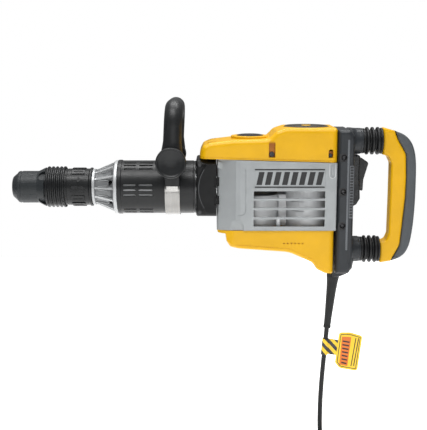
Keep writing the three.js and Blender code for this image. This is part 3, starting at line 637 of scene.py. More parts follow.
CORD_R = 4.5
GUARD_TOP = (587.6, 0, -155)
GUARD_TIP = (577.5, 0, -267.5)
HANGING = [
    (577.6, 0, -263), (577.3, 0, -267.9), (575.8, 0, -290), (573.6, 0, -318), (571.4, 0, -347),
    (569.4, 0, -380), (568.2, 0, -410), (568, 0, -435), (568, 0, -450), (568, -2.9, -464.5),
    (568, -11.1, -476.9), (568, -23.5, -485.1), (567.9, -38, -488.2), (565.4, -50.4, -489.3),
    (559.9, -61.8, -490.9), (551.7, -71.4, -492.6), (541.4, -78.7, -494.3), (529.8, -83.1, -495.7),
]
COIL_AT = (518, -48)
COIL_RADII = (36.5, 45.5, 54.5, 63.5)
COIL_LEVELS = (-496.5, -505.5, -514.5)
ENTRY_ANGLE = -75               # where the cord joins the innermost turn, seen from above
TURN_START = -180               # every turn is counted from here, clockwise
TAIL = [(482.4, -111.5, -515.2), (468, -111.5, -515.2), (452, -111.5, -513), (436.8, -111.5, -508.6)]


def ease(x):
    x = min(1.0, max(0.0, x))
    return x * x * (3 - 2 * x)


def relaxed(line, passes):
    """The line with its small kinks evened out and its ends kept."""
    for _ in range(passes):
        inner = [(a + 2 * b + c) / 4 for a, b, c in zip(line, line[1:], line[2:])]
        line = [line[0]] + inner + [line[-1]]
    return line


def cord_line():
    """Down from the guard, twelve turns in three layers, and out to the plug."""
    turns = [(r, z) for k, z in enumerate(COIL_LEVELS)
             for r in (COIL_RADII if k % 2 == 0 else COIL_RADII[::-1])]
    line = relaxed(smooth_line(HANGING, 4), 3)
    step = 10                   # degrees
    climb_start, climb_span = 110, 160      # the part of each turn that passes over to the next

    def on_coil(radius, level, angle):
        a = math.radians(angle)
        return Vector((COIL_AT[0] + radius * math.cos(a), COIL_AT[1] + radius * math.sin(a), level))

    for angle in range(ENTRY_ANGLE - 15, TURN_START, -step):
        line.append(on_coil(COIL_RADII[0], COIL_LEVELS[0], angle))
    for n, (radius, level) in enumerate(turns):
        last = n == len(turns) - 1
        after = turns[n] if last else turns[n + 1]
        for done in range(0, 270 if last else 360, step):
            w = ease((done - climb_start) / climb_span)
            line.append(on_coil(radius + (after[0] - radius) * w, level + (after[1] - level) * w,
                                TURN_START - done - 360 * n))
    line.append(Vector((COIL_AT[0], COIL_AT[1] - COIL_RADII[-1], COIL_LEVELS[-1])))
    return line + smooth_line([(COIL_AT[0] - 14, TAIL[0][1], COIL_LEVELS[-1] - 0.2)] + TAIL, 3)


def cord():
    line = cord_line()
    curve = bpy.data.curves.new("mains_cord", "CURVE")
    curve.dimensions = "3D"
    curve.bevel_depth = CORD_R * MM
    curve.bevel_resolution = 3
    curve.use_fill_caps = True
    spline = curve.splines.new("POLY")
    spline.points.add(len(line) - 1)
    for point, place in zip(spline.points, line):
        point.co = (*(place * MM), 1)
    spline.use_smooth = True
    obj = bpy.data.objects.new("mains_cord", curve)
    SCENE.collection.objects.link(obj)
    return settle(obj, RUBBER, ("power_cord", "cord_coil", "cord_tail"))


def coil_tie():
    """A narrow strap round the bundle on the coil's far side."""
    near, far = COIL_AT[1] + 31.2, COIL_AT[1] + 68.9
    top, low = COIL_LEVELS[0] + 5.3, COIL_LEVELS[-1] - 5.4
    outer = rect((near, far), (low, top), 4)
    strap = slab("coil_tie", "yz", outer, COIL_AT[0] - 8, COIL_AT[0] + 8, 0.5, 2, 8)
    hole = slab("hole", "yz", inset(outer, 1.0), COIL_AT[0] - 20, COIL_AT[0] + 20, 0, 1, 8)
    cut(strap, hole)
    head = block("head", (COIL_AT[0] - 5, COIL_AT[0] + 5), (far - 0.5, far + 3.5), (-512, -500))
    join(strap, head)
    return settle(polish(strap, 0.25), SMOOTH_BLACK)


def plug():
    low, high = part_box("mains_plug")
    x, y, z = high.x / MM, (low.y + high.y) / 2 / MM, (low.z + high.z) / 2 / MM
    body = slab("mains_plug_v", "xy", [
        (x - 44, y - 17, 4), (x - 17, y - 18, 9), (x - 8, y - 9, 6), (x, y - 6.6, 2), (x, y + 6.6, 2),
        (x - 8, y + 9, 6), (x - 17, y + 18, 9), (x - 44, y + 17, 4),
    ], z - 12, z + 12, 4.2, 5, 6)
    grooves = []
    for left in (x - 40, x - 35, x - 30, x - 25):
        for edge in (y - 17, y + 17):
            grooves.append(block("groove", (left, left + 2), (edge - 1.2, edge + 1.2), (z - 8, z + 8)))
    cut(body, grooves)
    settle(polish(body, 0.4), RUBBER, "mains_plug")
    for i, side in enumerate((-9.5, 9.5)):
        pin = turned("plug_pin_%d" % i, "x", [
            (x - 63, 0), (x - 63, 2.4, 1.6), (x - 40, 2.4), (x - 40, 0)], 32, (0, y + side, z))
        settle(polish(pin, 0), STEEL)
        collar = turned("plug_sleeve_%d" % i, "x", [
            (x - 52, 1.9), (x - 52, 2.75, 0.3), (x - 43, 2.75), (x - 43, 1.9)], 32, (0, y + side, z))
        settle(polish(collar, 0), SMOOTH_BLACK)
    return body


def on_guard(obj):
    """Stands a piece made downwards from the origin at the guard's place and lean."""
    lean = math.atan2(GUARD_TOP[0] - GUARD_TIP[0], GUARD_TOP[2] - GUARD_TIP[2])
    obj.data.transform(Matrix.Translation(Vector(GUARD_TOP) * MM) @ Matrix.Rotation(lean, 4, "Y"))
    return obj


def guard():
    stretch = (Vector(GUARD_TOP) - Vector(GUARD_TIP)).length
    body = turned("cord_guard_v", "z", [
        (0, 0), (0, 12), (-4, 12, 3), (-13, 11.7, 6), (-22, 10.4, 14), (-40, 9.0, 40),
        (-stretch + 26, 7.0, 60), (-stretch + 6, 6.5, 2), (-stretch + 5, 6.9, 0.6),
        (-stretch + 1, 6.9, 0.8), (-stretch, 6.0, 0.6), (-stretch, 0),
    ], 48, steps=6)
    return settle(polish(on_guard(body), 0), RUBBER, "cord_guard")


def tag():
    """A hazard-striped strap looped round the cord, with a plain label on its end."""
    lean, x0, low, high = 4.5, 574.7, -320, -289
    middle = (low + high) / 2
    loop = hoop("tag_loop", "z", -15.5, 15.5, CORD_R + 0.5, CORD_R + 1.9, 0.4, 40)
    spin(loop, "Y", lean)
    shift(loop, (x0, 0, middle))
    settle(polish(loop, 0), HAZARD)
    outline = [(594.5, -336, 4), (603, -347, 10), (637, -353, 5), (645, -284, 5), (622, -277, 12),
               (601, -277, 5)]
    label = slab("tag_label", "xz", outline, -0.7, 0.7, 0.2, 1, 8)
    settle(polish(label, 0), TAG_YELLOW, "cord_tag")
    strap = slab("tag_strap", "xz", [(x0 + 5.2, low + 1), (600, low - 2), (600, high - 3),
                                     (x0 + 7.6, high)], -0.55, 0.55)
    settle(polish(strap, 0), HAZARD)
    frame_line = slab("tag_frame", "xz", inset(outline, 3.2), -0.95, -0.6)
    cut(frame_line, slab("hole", "xz", inset(outline, 4.4), -2, 2))
    settle(polish(frame_line, 0), PRINT_AND_SHADE)
    patch = slab("tag_patch", "xz", [(602.5, -340, 1), (618, -343, 1), (624, -286, 1), (606.5, -285, 1)],
                 -0.9, -0.6)
    settle(polish(patch, 0), TAG_ORANGE)
    bars = [slab("bar", "xz", [(606 + 0.3 * k, -337 + 7 * k), (616 + 0.8 * k, -339.4 + 7 * k),
                               (616.4 + 0.8 * k, -336.8 + 7 * k), (606.4 + 0.3 * k, -334.4 + 7 * k)], -1.15,
                 -0.85)
            for k in range(7)]
    bars += [slab("bar", "xz", [(x, -343), (x + 1.6, -343), (x + 9.6, -288), (x + 8.0, -288)], -0.95, -0.6)
             for x in (624, 629)]
    settle(polish(gathered("tag_bars", bars), 0), PRINT_AND_SHADE)
    return [label, strap, frame_line, patch, loop]


CORD = cord()
PLUG = plug()
TIE = coil_tie()
GUARD = guard()
TAG = tag()

# ---------------------------------------------------------------- chuck

def dust_cap():
    body = turned("dust_cap_v", "x", [
        (0.2, 10, 1), (0.2, 18.4, 2), (2.6, 20.6, 2), (8.6, 25.6, 2), (10.2, 28.2, 1.6), (13.6, 29, 1.2),
        (14.6, 28.2, 0.6), (16.2, 28.2, 0.6), (17.2, 29, 0.8), (46.5, 29, 8), (60.4, 35.8, 1),
        (60.4, 21, 0.3), (12.2, 21, 0.3), (12.2, 10, 0.3),
    ], 128, steps=5)
    pockets = [spin(rod("pocket", "z", 27.6, 50, 9.2, (57.5, 0, 0), 48), "X", 45 + 90 * k)
               for k in range(4)]
    ribs = [spin(block("rib", (18.5, 45), (-0.5, 0.5), (28.5, 29.35)), "X", 22.5 + 45 * k)
            for k in range(8)]
    cut(body, pockets)
    join(body, ribs)
    return settle(polish(body, 0.4), CAP_GREY, "dust_cap", "chuck")


def lock_sleeve():
    ridges = (65.0, 72.4, 79.8, 87.2)
    outside = []
    for x in ridges:
        outside += [(x - 2.6, 34.6, 1.4), (x - 0.9, 37.3, 1.1), (x + 0.9, 37.3, 1.1), (x + 2.6, 34.6, 1.4)]
    body = turned("lock_sleeve_v", "x", [
        (61.4, 21), (61.4, 34.9, 0.6), *outside, (91.6, 34.8, 1), (93.0, 37.3, 1), (95.8, 37.3, 0.8),
        (95.8, 34.4, 0.3), (68.6, 34.4), (68.6, 21)], 128, steps=4)
    notches = [spin(block("notch", (92.2, 96.5), (-0.55, 0.55), (36.7, 39)), "X", 7.5 + 15 * k)
               for k in range(24)]
    cut(body, notches)
    return settle(polish(body, 0.2), BLACK, "lock_sleeve", "sleeve")


def lock_spring():
    """The coil that pushes the locking sleeve forward."""
    start, end, radius, wire, turns, step = 71.8, 88.2, 26, 1.3, 3, 15
    count = turns * 360 // step
    line = []
    for k in range(count + 1):
        a = math.radians(step * k)
        line.append((start + (end - start) * k / count, radius * math.cos(a), radius * math.sin(a)))
    return bridge(polish(swept("lock_spring_v", line, wire, 16), 0), STEEL, "lock_spring")


def index_collar():
    """Twelve places round the collar: raised blocks, with an arrow at one near the front side."""
    body = turned("index_collar_v", "x", [
        (90.2, 20.5), (90.2, 33.3, 0.4), (98.6, 33.3, 0.3), (99.2, 32.7, 0.3), (100.4, 32.7, 0.3),
        (101, 33.3, 0.3), (139.6, 33.3, 0.6), (141.4, 35.1, 0.7), (144.6, 35.1, 0.7),
        (144.6, 20.5)], 144, steps=4)
    raised, sunk = [], []
    for k in range(12):
        angle = 90 + 30 * k
        if k == 11:
            arrow = [(111, -1.0), (120, -1.0), (120, -6), (129, 0), (120, 6), (120, 1.0), (111, 1.0)]
            raised.append(spin(slab("arrow", "xy", arrow, 32, 34.1), "X", angle))
            continue
        pad = slab("pad", "xy", rect((108.4, 132.6), (-5.8, 5.8), 2), 31, 34.8, 0.7, 2, 4)
        groove = slab("groove", "xy", rect((112, 129), (-1.2, 1.2), 1), 34.1, 36, 0, 1, 4)
        raised.append(spin(pad, "X", angle))
        sunk.append(spin(groove, "X", angle))
    join(body, raised)
    cut(body, sunk)
    return settle(polish(body, 0.25), BLACK, "index_collar", "chuck")


def tool_holder():
    body = turned("tool_holder_v", "x", [
        (12.6, 9.1, 0.8), (12.6, 18.4, 0.6), (14, 19.8), (188, 19.8), (188, 15.7), (132, 15.7), (132, 9.1)],
                  64)
    slots = [block("slot", (70, 84), side, (-4, 4)) for side in ((-30, -6), (6, 30))]
    cut(body, slots)
    return settle(polish(body, 0.2), STEEL, "tool_holder", "chuck")


# ---------------------------------------------------------------- nose and barrel

def nose_cone():
    """A ribbed casting: a thin front ring, twelve ribs over recessed panels, and a rear ring; the recessed
    body is a darker copy of the casting colour, as painted shade.
    """
    body = turned("nose_cone_v", "x", [
        (145.5, 21), (145.5, 32.4, 0.5), (150.6, 32.4, 1), (153.6, 29.8, 1.5), (166, 32.4, 20),
        (181.0, 37.6, 4), (185.4, 47.0, 2.5), (187.2, 48.2, 0.8), (188.2, 47.4, 0.3), (189.0, 47.4, 0.3),
        (190, 48.3, 0.5), (191.9, 48.3, 0.5), (191.9, 44.8), (184, 35.8), (162, 27.2),
        (162, 21)], 160, steps=5)
    ribs, panels, windows = [], [], []
    for k in range(12):
        at = 57 + 30 * k
        rib = slab("rib", "xz", [
            (149, 27), (149.6, 32.0, 1), (154, 32.2, 4), (183, 44.6, 8), (189.4, 47.9), (189.4, 40),
            (170, 31)], -1.7, 1.7, 0.7, 2, 4)
        ribs.append(spin(rib, "X", at))
        at = 72 + 30 * k
        for side in (-1, 1):
            v = side * 5.0
            panels.append(spin(slab("fin", "xz", [(156, 28), (157, 31.2, 1), (174.6, 36.9, 1), (175.6, 33)],
                                    v - 0.6, v + 0.6, 0.3, 1, 3), "X", at))
    for k in range(6):
        window = slab("window", "xy", mirrored([(176.6, -4.6, 1), (184.4, -5.2, 1)]), 28, 60, 0, 1, 4)
        windows.append(spin(window, "X", 72 + 60 * k))
    lattice = turned("nose_ribs", "x", [
        (185.6, 44), (185.6, 47.5, 1.2), (187.4, 48.5, 0.6), (191.8, 48.5, 0.5), (191.8, 44)], 160, steps=3)
    front_ring = turned("ring", "x", [(145.6, 29), (145.6, 32.7, 0.6), (150.2, 32.7, 0.8), (150.2, 29)],
                        160, steps=3)
    join(lattice, front_ring, ribs)
    join(lattice, panels)
    windows = gathered("windows", windows)
    cut(lattice, copied(windows))
    settle(polish(lattice, 0.3), BRIGHT_CAST_AND_RIM_HIGHLIGHT)
    cut(body, windows)
    # the recessed body between the ribs takes the darker casting colour: painted shade
    return settle(polish(body, 0.3), CAST_SHADE, "nose_cone")


def barrel_sleeve():
    body = turned("barrel_sleeve_v", "x", [
        (192.4, 45.1), (192.4, 49.3, 0.9), (198.6, 49.3, 0.9), (199.6, 48.1, 0.4), (328, 48.1, 0.4),
        (329, 47.5, 0.3), (332.5, 47.5, 0.5), (332.5, 45.1)], 160, steps=4)
    slots = []
    for low, high in ((203.5, 226), (231, 256)):
        for k in range(18):
            angle = 90 + 60 * (k // 3) + 11 * (k % 3 - 1)
            slot = slab("slot", "xy", rect((low, high), (-1.6, 1.6), 1.5), 42, 52)
            slots.append(spin(slot, "X", angle))
    cut(body, slots)
    liner = hoop("barrel_liner", "x", 200, 260, 43.2, 44.8, 0.3, 120)
    cut(liner, block("upper", (190, 270), (-60, 60), (16, 60)))
    settle(polish(liner, 0), BRIGHT_CAST_AND_RIM_HIGHLIGHT)
    return settle(polish(body, 0.3), BLACK, "barrel_sleeve")


def cylinder_tube():
    body = hoop("cylinder_tube_v", "x", 192.8, 379.8, 27.6, 39.8, 1, 96)
    return settle(polish(body, 0.2), STEEL, "cylinder_tube")


FLANGE_START, FLANGE_END = 333.2, 369.6
TAB_HEIGHTS, TAB_HIGH = (-26, 7), 16    # lower ends and height of the tabs on the block's rear edge


def front_flange():
    """The block that joins barrel and gearbox, with a D-shaped raised panel on each flank."""
    body = slab("front_flange_v", "yz", rect((-47.2, 47.2), (-48.5, 54.6), 14), FLANGE_START, FLANGE_END,
        4, 5, 10, (True, False))
    centre, radius = (400, 3), 64.5
    arc = []
    for k in range(-17, 18):
        a = math.radians(180 + k * 2.5)
        arc.append((centre[0] + radius * math.cos(a), centre[1] + radius * math.sin(a)))
    panel = arc + [(FLANGE_END, arc[-1][1]), (FLANGE_END, arc[0][1])]
    for side in (-1, 1):
        join(body, slab("panel", "xz", panel, *flank(side, 44, 49.9), 0.9, 3))
    cut(body, rod("bore", "x", 325, 380, 40.6, turns=96))
    for z in TAB_HEIGHTS:
        for side in ((-60, -46.6), (46.6, 60)):
            cut(body, block("notch", (FLANGE_END - 4, FLANGE_END + 1), side, (z, z + TAB_HIGH)))
    settle(polish(body, 0.7, 3), FLANGE_BLACK, "front_flange")
    # a thin raised lip along the arc on each flank, lighter grey than the block: a painted highlight
    for i, side in enumerate((-1, 1)):
        outer = [(x + 1.8, z) for x, z in arc[4:-4]]
        line = slab("flange_lip_highlight_%d" % i, "xz", outer + [(x + 1.2, z) for x, z in outer[::-1]],
                    *flank(side, 49.5, 50.2), 0.15, 1)
        settle(polish(line, 0), LIP_HIGHLIGHT_GREY)
    for i, (y, z) in enumerate(((-43.4, 45.5), (43.4, 45.5), (-43.4, -39.5), (43.4, -39.5))):
        head = hoop("flange_bolt_%d" % i, "y", y - 4, y + 4, 0, 3.4, 0.5, 24, (FLANGE_START + 6.5, 0, z))
        settle(polish(head, 0), DARK_STEEL)


dust_cap()
lock_sleeve()
lock_spring()
index_collar()
tool_holder()
nose_cone()
barrel_sleeve()
cylinder_tube()
front_flange()

# ---------------------------------------------------------------- side handle

CLAMP_X, BOLT_Z = 291, 53.5
CLAMP_LOW, CLAMP_HIGH = 277.7, 304.3
BAIL_LEAN = 2.8


def clamp_saddle():
    arch = slab("clamp_saddle_v", "yz", [
        (-51.4, 8), (-51.4, 44, 9), (-40, 63.8, 9), (40, 63.8, 9), (51.4, 44, 9), (51.4, 8)],
        CLAMP_LOW, CLAMP_HIGH, 1.6, 3, 8)
    cut(arch, rod("bore", "x", 270, 310, 48.9, turns=128))
    cut(arch, rod("hole", "y", -60, 60, 4.6, (CLAMP_X, 0, BOLT_Z)))
    lines = [block("line", (CLAMP_LOW - 1, CLAMP_LOW + 1.2), side, (20, 46))
             for side in ((-53, -50.6), (50.6, 53))]
    cut(arch, lines)
    return settle(polish(arch, 0.4), BLACK, "clamp_saddle", "clamp")


def clamp_band():
    """A steel strap under the barrel, with folded ends and pressed edges."""
    whole = turned("clamp_band_v", "x", [
        (CLAMP_LOW, 49.2), (CLAMP_LOW, 51.0, 0.5), (CLAMP_LOW + 2.2, 51.0, 0.3),
        (CLAMP_LOW + 2.8, 50.6, 0.2), (CLAMP_HIGH - 2.8, 50.6, 0.2), (CLAMP_HIGH - 2.2, 51.0, 0.3),
        (CLAMP_HIGH, 51.0, 0.5), (CLAMP_HIGH, 49.2)], 160)
    cut(whole, block("upper", (200, 400), (-70, 70), (7.7, 90)))
    hooks = [slab("hook", "yz", rect((side * 49.1, side * 51.1), (7.6, 2)),
                  CLAMP_LOW + 3, CLAMP_HIGH - 3, 0.4, 1) for side in (-1, 1)]
    join(whole, hooks)
    return settle(polish(whole, 0.2), BAND, "clamp_band", "clamp")


def side_handle():
    """A round bail handle: two legs rise from the cross bolt and bend into the grip bar."""
    height, leg, radius, bend = 145.5 - BOLT_Z, 66, 16, 30
    line = [(0, -leg, 2), (0, -leg, 20), (0, -leg, 40)]
    for k in range(13):
        a = math.pi / 2 * k / 12
        line.append((0, -(leg - bend) - bend * math.cos(a), height - bend + bend * math.sin(a)))
    line += [(0, y, height) for y in (-24, -12, 0)]
    line += [(x, -y, z) for x, y, z in line[:-1][::-1]]
    tube = swept("side_handle_v", line, radius, 48)
    parts = []
    for side in (-1, 1):
        low, high = flank(side, 52.6, 82.2)
        edges = (3.0, 1.5) if side < 0 else (1.5, 3.0)
        boss = [(low, 0), (low, 21.4, edges[0]), (high, 21.4, edges[1]), (high, 0)]
        parts.append(turned("boss", "y", boss, 72))
        flare = [(0, side * leg, z) for z in (8, 16, 24, 32, 40)]
        parts.append(swept("flare", flare, [20.0, 19.2, 17.8, 16.6, 15.7], 48, 0.97))
    join(tube, *parts)
    cut(tube, block("inside", (-40, 40), (-52.6, 52.6), (-30, 27)))
    cut(tube, rod("hole", "y", -100, 100, 4.8))
    spin(tube, "Y", BAIL_LEAN)
    shift(tube, (CLAMP_X, 0, BOLT_Z))
    return settle(polish(tube, 0.5, 2, 45), GRIP_BLACK, "side_handle", "bail")


def clamp_knob():
    """A large round knob, dished on its face, with fine finger flutes round the rim."""
    at = (CLAMP_X, 0, BOLT_Z)
    knob = turned("clamp_knob_v", "y", [
        (-90.2, 0), (-90.8, 9, 26), (-94.6, 21.6, 6), (-96.8, 24.0, 1.4), (-96.4, 25.5, 1.0),
        (-93.6, 26.6, 2), (-86, 26.6, 1), (-84.4, 24.3, 1), (-83.3, 15, 1), (-83.3, 0)], 120, at, 6)
    flutes = [spin(rod("flute", "y", -93.5, -80, 1.5, (CLAMP_X + 27.6, 0, BOLT_Z), 16), "Y", 20 * k, at)
              for k in range(18)]
    cut(knob, flutes)
    cut(knob, rod("hole", "y", -88, -70, 4.9, at))
    return settle(polish(knob, 0.3), GRIP_BLACK, "clamp_knob", "knob")


def clamp_bolt():
    at = (CLAMP_X, 0, BOLT_Z)
    bolt = rod("clamp_bolt_v", "y", -86, 90.6, 3.9, at, 32, 0.4)
    nut = hoop("nut", "y", 83.4, 89.4, 0, 9.0, 0, 6, at)
    limit = turned("limit", "y", [(83.4, 0), (83.4, 8.0), (84.4, 9.2), (88.4, 9.2), (89.4, 8.0), (89.4, 0)],
                   48, at)
    join(bolt, common(nut, limit))
    washer = hoop("clamp_washer", "y", 82.5, 83.3, 4.2, 10.4, 0.3, 48, at)
    settle(polish(washer, 0), STEEL, body="clamp")
    return settle(polish(bolt, 0.3), STEEL, "clamp_bolt", "clamp")


# ---------------------------------------------------------------- gearbox and covers

SEAM_START, SEAM_END = 340, 583
CRANK_X, MOTOR_X, CAN_R = 433.95, 534, 42.6
HUMP_TOP = 110.6
BOSS_X, BOSS_TOP = 430, 94.3
VENT_X = 531.5
LOUVRES, LOUVRE_TOP, LOUVRE_PITCH = 4, -0.8, 16.8


def seam(x):
    return 56.4 - 7 * (x - SEAM_START) / (SEAM_END - SEAM_START)


def gear_housing():
    """The silver casting: a smooth front block, a nameplate, and four cooling louvres through each side."""
    body = slab("gear_housing_v", "xy", mirrored([
        (370.2, -43, 5), (404, -51.9, 16), (412, -52.9, 30), (582.7, -52.9, 2)]), -71.7, 60, 0, 1, 8)
    side = slab("side", "xz", [
        (370, -71.7), (590, -71.7), (590, seam(590) - 0.4), (370, seam(370) - 0.4)], -70, 70)
    common(body, side)
    inner = slab("inner", "xy", mirrored([
        (379, -38, 5), (413, -48.8, 20), (578.8, -48.8, 2)]), -90, 90, 0, 1, 8)
    cut(body, inner)
    cut(body, rod("bore", "x", 370, 395, 40.8, turns=96))
    louvres = []
    for k in range(LOUVRES):
        top = LOUVRE_TOP - LOUVRE_PITCH * k
        for y in ((-60, -40), (40, 60)):
            louvres.append(slab("louvre", "xz", rect((435.5, 562), (top - 13.2, top), 1.2), *y, 0, 1, 4))
    cut(body, louvres)
    sunk = []
    for sign in (-1, 1):
        face = flank(sign, 52.1, 60)
        deep = flank(sign, 51.3, 60)
        sunk.append(slab("plate", "xz", rect((436, 562), (4.6, 39.6), 1), *face))
        sunk.append(slab("groove", "xz", [(569.5, 23, 4.4), (578.5, 23, 4.4), (578.5, 60), (569.5, 60)],
                         *deep))
    cut(body, sunk)
    steps = []
    for sign in (-1, 1):
        y = flank(sign, 49, 60)
        steps.append(slab("step", "xz", [(360, -80), (418, -80), (418, -54, 12), (360, -50, 1)], *y))
    cut(body, steps)
    lines = []
    for sign in (-1, 1):
        y = flank(sign, 51.7, 60)
        lines.append(slab("line", "xz", [
            (420.4, 38), (420.4, -44, 9), (376, -44), (376, -45.4), (422, -45.4, 10.4), (422, 38)],
            *y, 0, 1, 8))
        for z in TAB_HEIGHTS:
            lines.append(block("tab", (360, 374.6), flank(sign, 36, 60), (z, z + TAB_HIGH)))
    cut(body, lines)
    wedge = []
    for sign in (-1, 1):
        low, high = flank(sign, 30, 46.2)
        wedge.append(slab("wedge", "xz", [
            (370.8, 40), (372, 52), (388, 49.6, 4), (402, 41.5, 8), (412, 30), (396, 30)], low, high, 1.2, 2))
    join(body, wedge)
    ridges = [slab("ridge", "xz", [(572.6, 27, 1.4), (575.4, 27, 1.4), (575.4, 44), (572.6, 44)],
                   *flank(s, 50.5, 52.6)) for s in (-1, 1)]
    join(body, ridges)
    return settle(polish(body, 0.6, 3, 30), SILVER, "gear_housing")


def groove_rims():
    """A raised edge round the slot in the casting's rear corner, in the brighter casting colour: a painted
    highlight.
    """
    for i, sign in enumerate((-1, 1)):
        y = flank(sign, 52.6, 53.3)
        rim = slab("groove_rim_%d" % i, "xz", [
            (568.0, 21.6, 5.8), (580.0, 21.6, 5.8), (580.0, 47.6, 1), (568.0, 47.6, 1)], *y, 0.2, 1, 8)
        cut(rim, slab("hole", "xz", [
            (569.6, 23.2, 4.4), (578.4, 23.2, 4.4), (578.4, 60), (569.6, 60)], -60, 60))
        settle(polish(rim, 0), BRIGHT_CAST_AND_RIM_HIGHLIGHT)


def flange_tabs():
    """Black tabs of the front block that reach into the casting's front edge."""
    start, end, gap = FLANGE_END + 0.1, 374.2, 0.3
    tabs = []
    for z in TAB_HEIGHTS:
        low, high = z + gap, z + TAB_HIGH - gap
        outline = [(start, low), (end, low, 0.6), (end, high, 0.6), (start, high)]
        tabs += [slab("tab", "xz", outline, *flank(side, 40, 43.6), 0.4, 1, 3) for side in (-1, 1)]
    return settle(polish(gathered("flange_tabs", tabs), 0), FLANGE_BLACK)


def nameplate():
    """A blank plate with two rules and a row of plain slanted bars in place of a name."""
    for i, sign in enumerate((-1, 1)):
        y = flank(sign, 52.15, 52.55)
        bars = [slab("rule", "xz", rect((437.4, 560.6), (z, z + 2.2)), *y) for z in (5.4, 36.4)]
        for k in range(8):
            x = 440 + 15 * k
            bars.append(slab("bar", "xz", [(x, 10.4), (x + 9.6, 10.4), (x + 14.4, 33.4), (x + 4.8, 33.4)],
                             *y))
        settle(polish(gathered("nameplate_%d" % i, bars), 0), PRINT_AND_SHADE)


def motor_can():
    """The field casting seen through the louvres: the can, a drum in front of it and a web between."""
    can = turned("motor_can_v", "z", [
        (-96, CAN_R - 2.5), (-96, CAN_R - 0.1), (-73, CAN_R - 0.1, 0.6), (-70, CAN_R - 1.4, 1),
        (4, CAN_R - 1.4, 1), (6, CAN_R - 0.1, 2), (9.8, CAN_R - 4, 2), (9.8, 15.8), (6.6, 15.8),
        (6.6, CAN_R - 2.5)], 128, (MOTOR_X, 0, 0), 4)
    join(can, hoop("drum", "z", -67.8, -11.2, 34.2, 37.8, 1, 128, (CRANK_X + 14, 0, 0)))
    join(can, slab("web", "xy", rect((CRANK_X + 48, MOTOR_X - 38), (-21, 21)), -67.8, -11.2))
    cut(can, rod("inside", "z", -97, 6.4, CAN_R - 2.6, (MOTOR_X, 0, 0), 96))
    slits = []
    for z in (-21, -38):
        for low, high in ((-60, -28), (28, 60)):
            slits.append(slab("slit", "xz", [
                (MOTOR_X - 32, z - 2.4, 1), (MOTOR_X - 8, z - 1.6, 1), (MOTOR_X - 8, z + 1.6, 1),
                (MOTOR_X - 32, z + 0.6, 1)], low, high))
    cut(can, slits)
    x = CRANK_X + 46
    join(can, [slab("rib", "xz", rect((x - 3, x + 3), (-67.4, -50), 1),
                    *flank(side, 20, 45)) for side in (-1, 1)])
    return settle(polish(can, 0.4, 2, 34), INNER_CAST, "motor_can")


def cover_side(grow=0.0):
    return inset([
        (SEAM_START + 0.2, 20), (SEAM_START + 0.2, 67, 8), (345.8, 78.9, 10), (359, 84.4, 24),
        (399, 89.2, 60), (461, 91.0, 12), (474.6, 104.6, 14), (492, HUMP_TOP - 0.1, 24),
        (SEAM_END - 0.3, HUMP_TOP - 0.1, 5), (SEAM_END - 0.3, 20)], -grow)


SCREW_NOTCHES = ((461.5, 473, 58.5, 87), (566.5, 575, 58, 73))


def top_cover():
    body = slab("top_cover_v", "xz", cover_side(), -50.8, 50.8, 9.5, 8, 10)
    plan = slab("plan", "xy", mirrored([(SEAM_START, -50.9, 13), (SEAM_END - 0.2, -50.9, 3)]),
                0, 150, 0, 1, 12)
    common(body, plan)
    join(body, turned("boss", "z", [(60, 0), (60, 34.4), (BOSS_TOP - 0.2, 34.4, 1.8), (BOSS_TOP - 0.2, 0)],
                      96, (BOSS_X, 0, 0), 5))
    cut(body, slab("below", "xz", [(300, -10), (620, -10), (620, seam(620) + 0.2), (300, seam(300) + 0.2)],
                   -70, 70))
    cut(body, slab("hollow", "xy", mirrored([(352, -44, 8), (577, -44, 2)]), 0, 72))
    cut(body, rod("seat", "z", BOSS_TOP - 3.4, 110, 24.2, (BOSS_X, 0, 0), 96))
    cut(body, rod("vent", "z", HUMP_TOP - 3, 120, 40.8, (VENT_X, 0, 0), 96))
    dimples = []
    for k in range(5):
        for side in (-1, 1):
            dimples.append(slab("dimple", "xy",
                                [(353 + 3.4 * k, side * 30 - 8), (354.6 + 3.4 * k, side * 30 - 8),
                                                 (356.6 + 3.4 * k, side * 30 + 8),
                                 (355 + 3.4 * k, side * 30 + 8)], 78 + 1.3 * k, 95))
    cut(body, dimples)
    notches = []
    for x0, x1, z0, z1 in SCREW_NOTCHES:
        for side in (-1, 1):
            notches.append(slab("notch", "xz", [(x0, z0), (x1, z0), (x1, z1, 4), (x0, z1, 4)],
                                *flank(side, 43, 60), 0, 1, 5))
    cut(body, notches)
    groove = slab("groove", "xz", [(340, seam(340) + 2.6), (590, seam(590) + 2.6), (590, seam(590) + 3.4),
                                   (340, seam(340) + 3.4)], -70, 70)
    core = slab("core", "xy", mirrored([(SEAM_START + 0.6, -50.2, 13), (SEAM_END + 9, -50.2, 3)]), 0, 150,
                0, 1, 12)
    cut(body, cut(groove, core))
    settle(polish(body, 0.7, 3, 34), YELLOW, "top_cover")
    for i, (x0, x1, z0, z1) in enumerate(SCREW_NOTCHES):
        x, radius = (x0 + x1) / 2, (x1 - x0) / 2 - 0.9
        for j, side in enumerate((-1, 1)):
            screw_head("cover_screw_%d%d" % (i, j), (x, side * 43.1, z0 + radius + 0.6), side, radius, 3.0)
            # a darker yellow sheet on each notch floor: painted shade in the recess
            notch_shade_sheet = block("notch_floor_shade_%d%d" % (i, j), (x0 + 0.3, x1 - 0.3), flank(side, 43.02, 43.4),
                           (z0 + 0.3, z1 - 4))
            settle(polish(notch_shade_sheet, 0.1), NOTCH_SHADE_YELLOW)


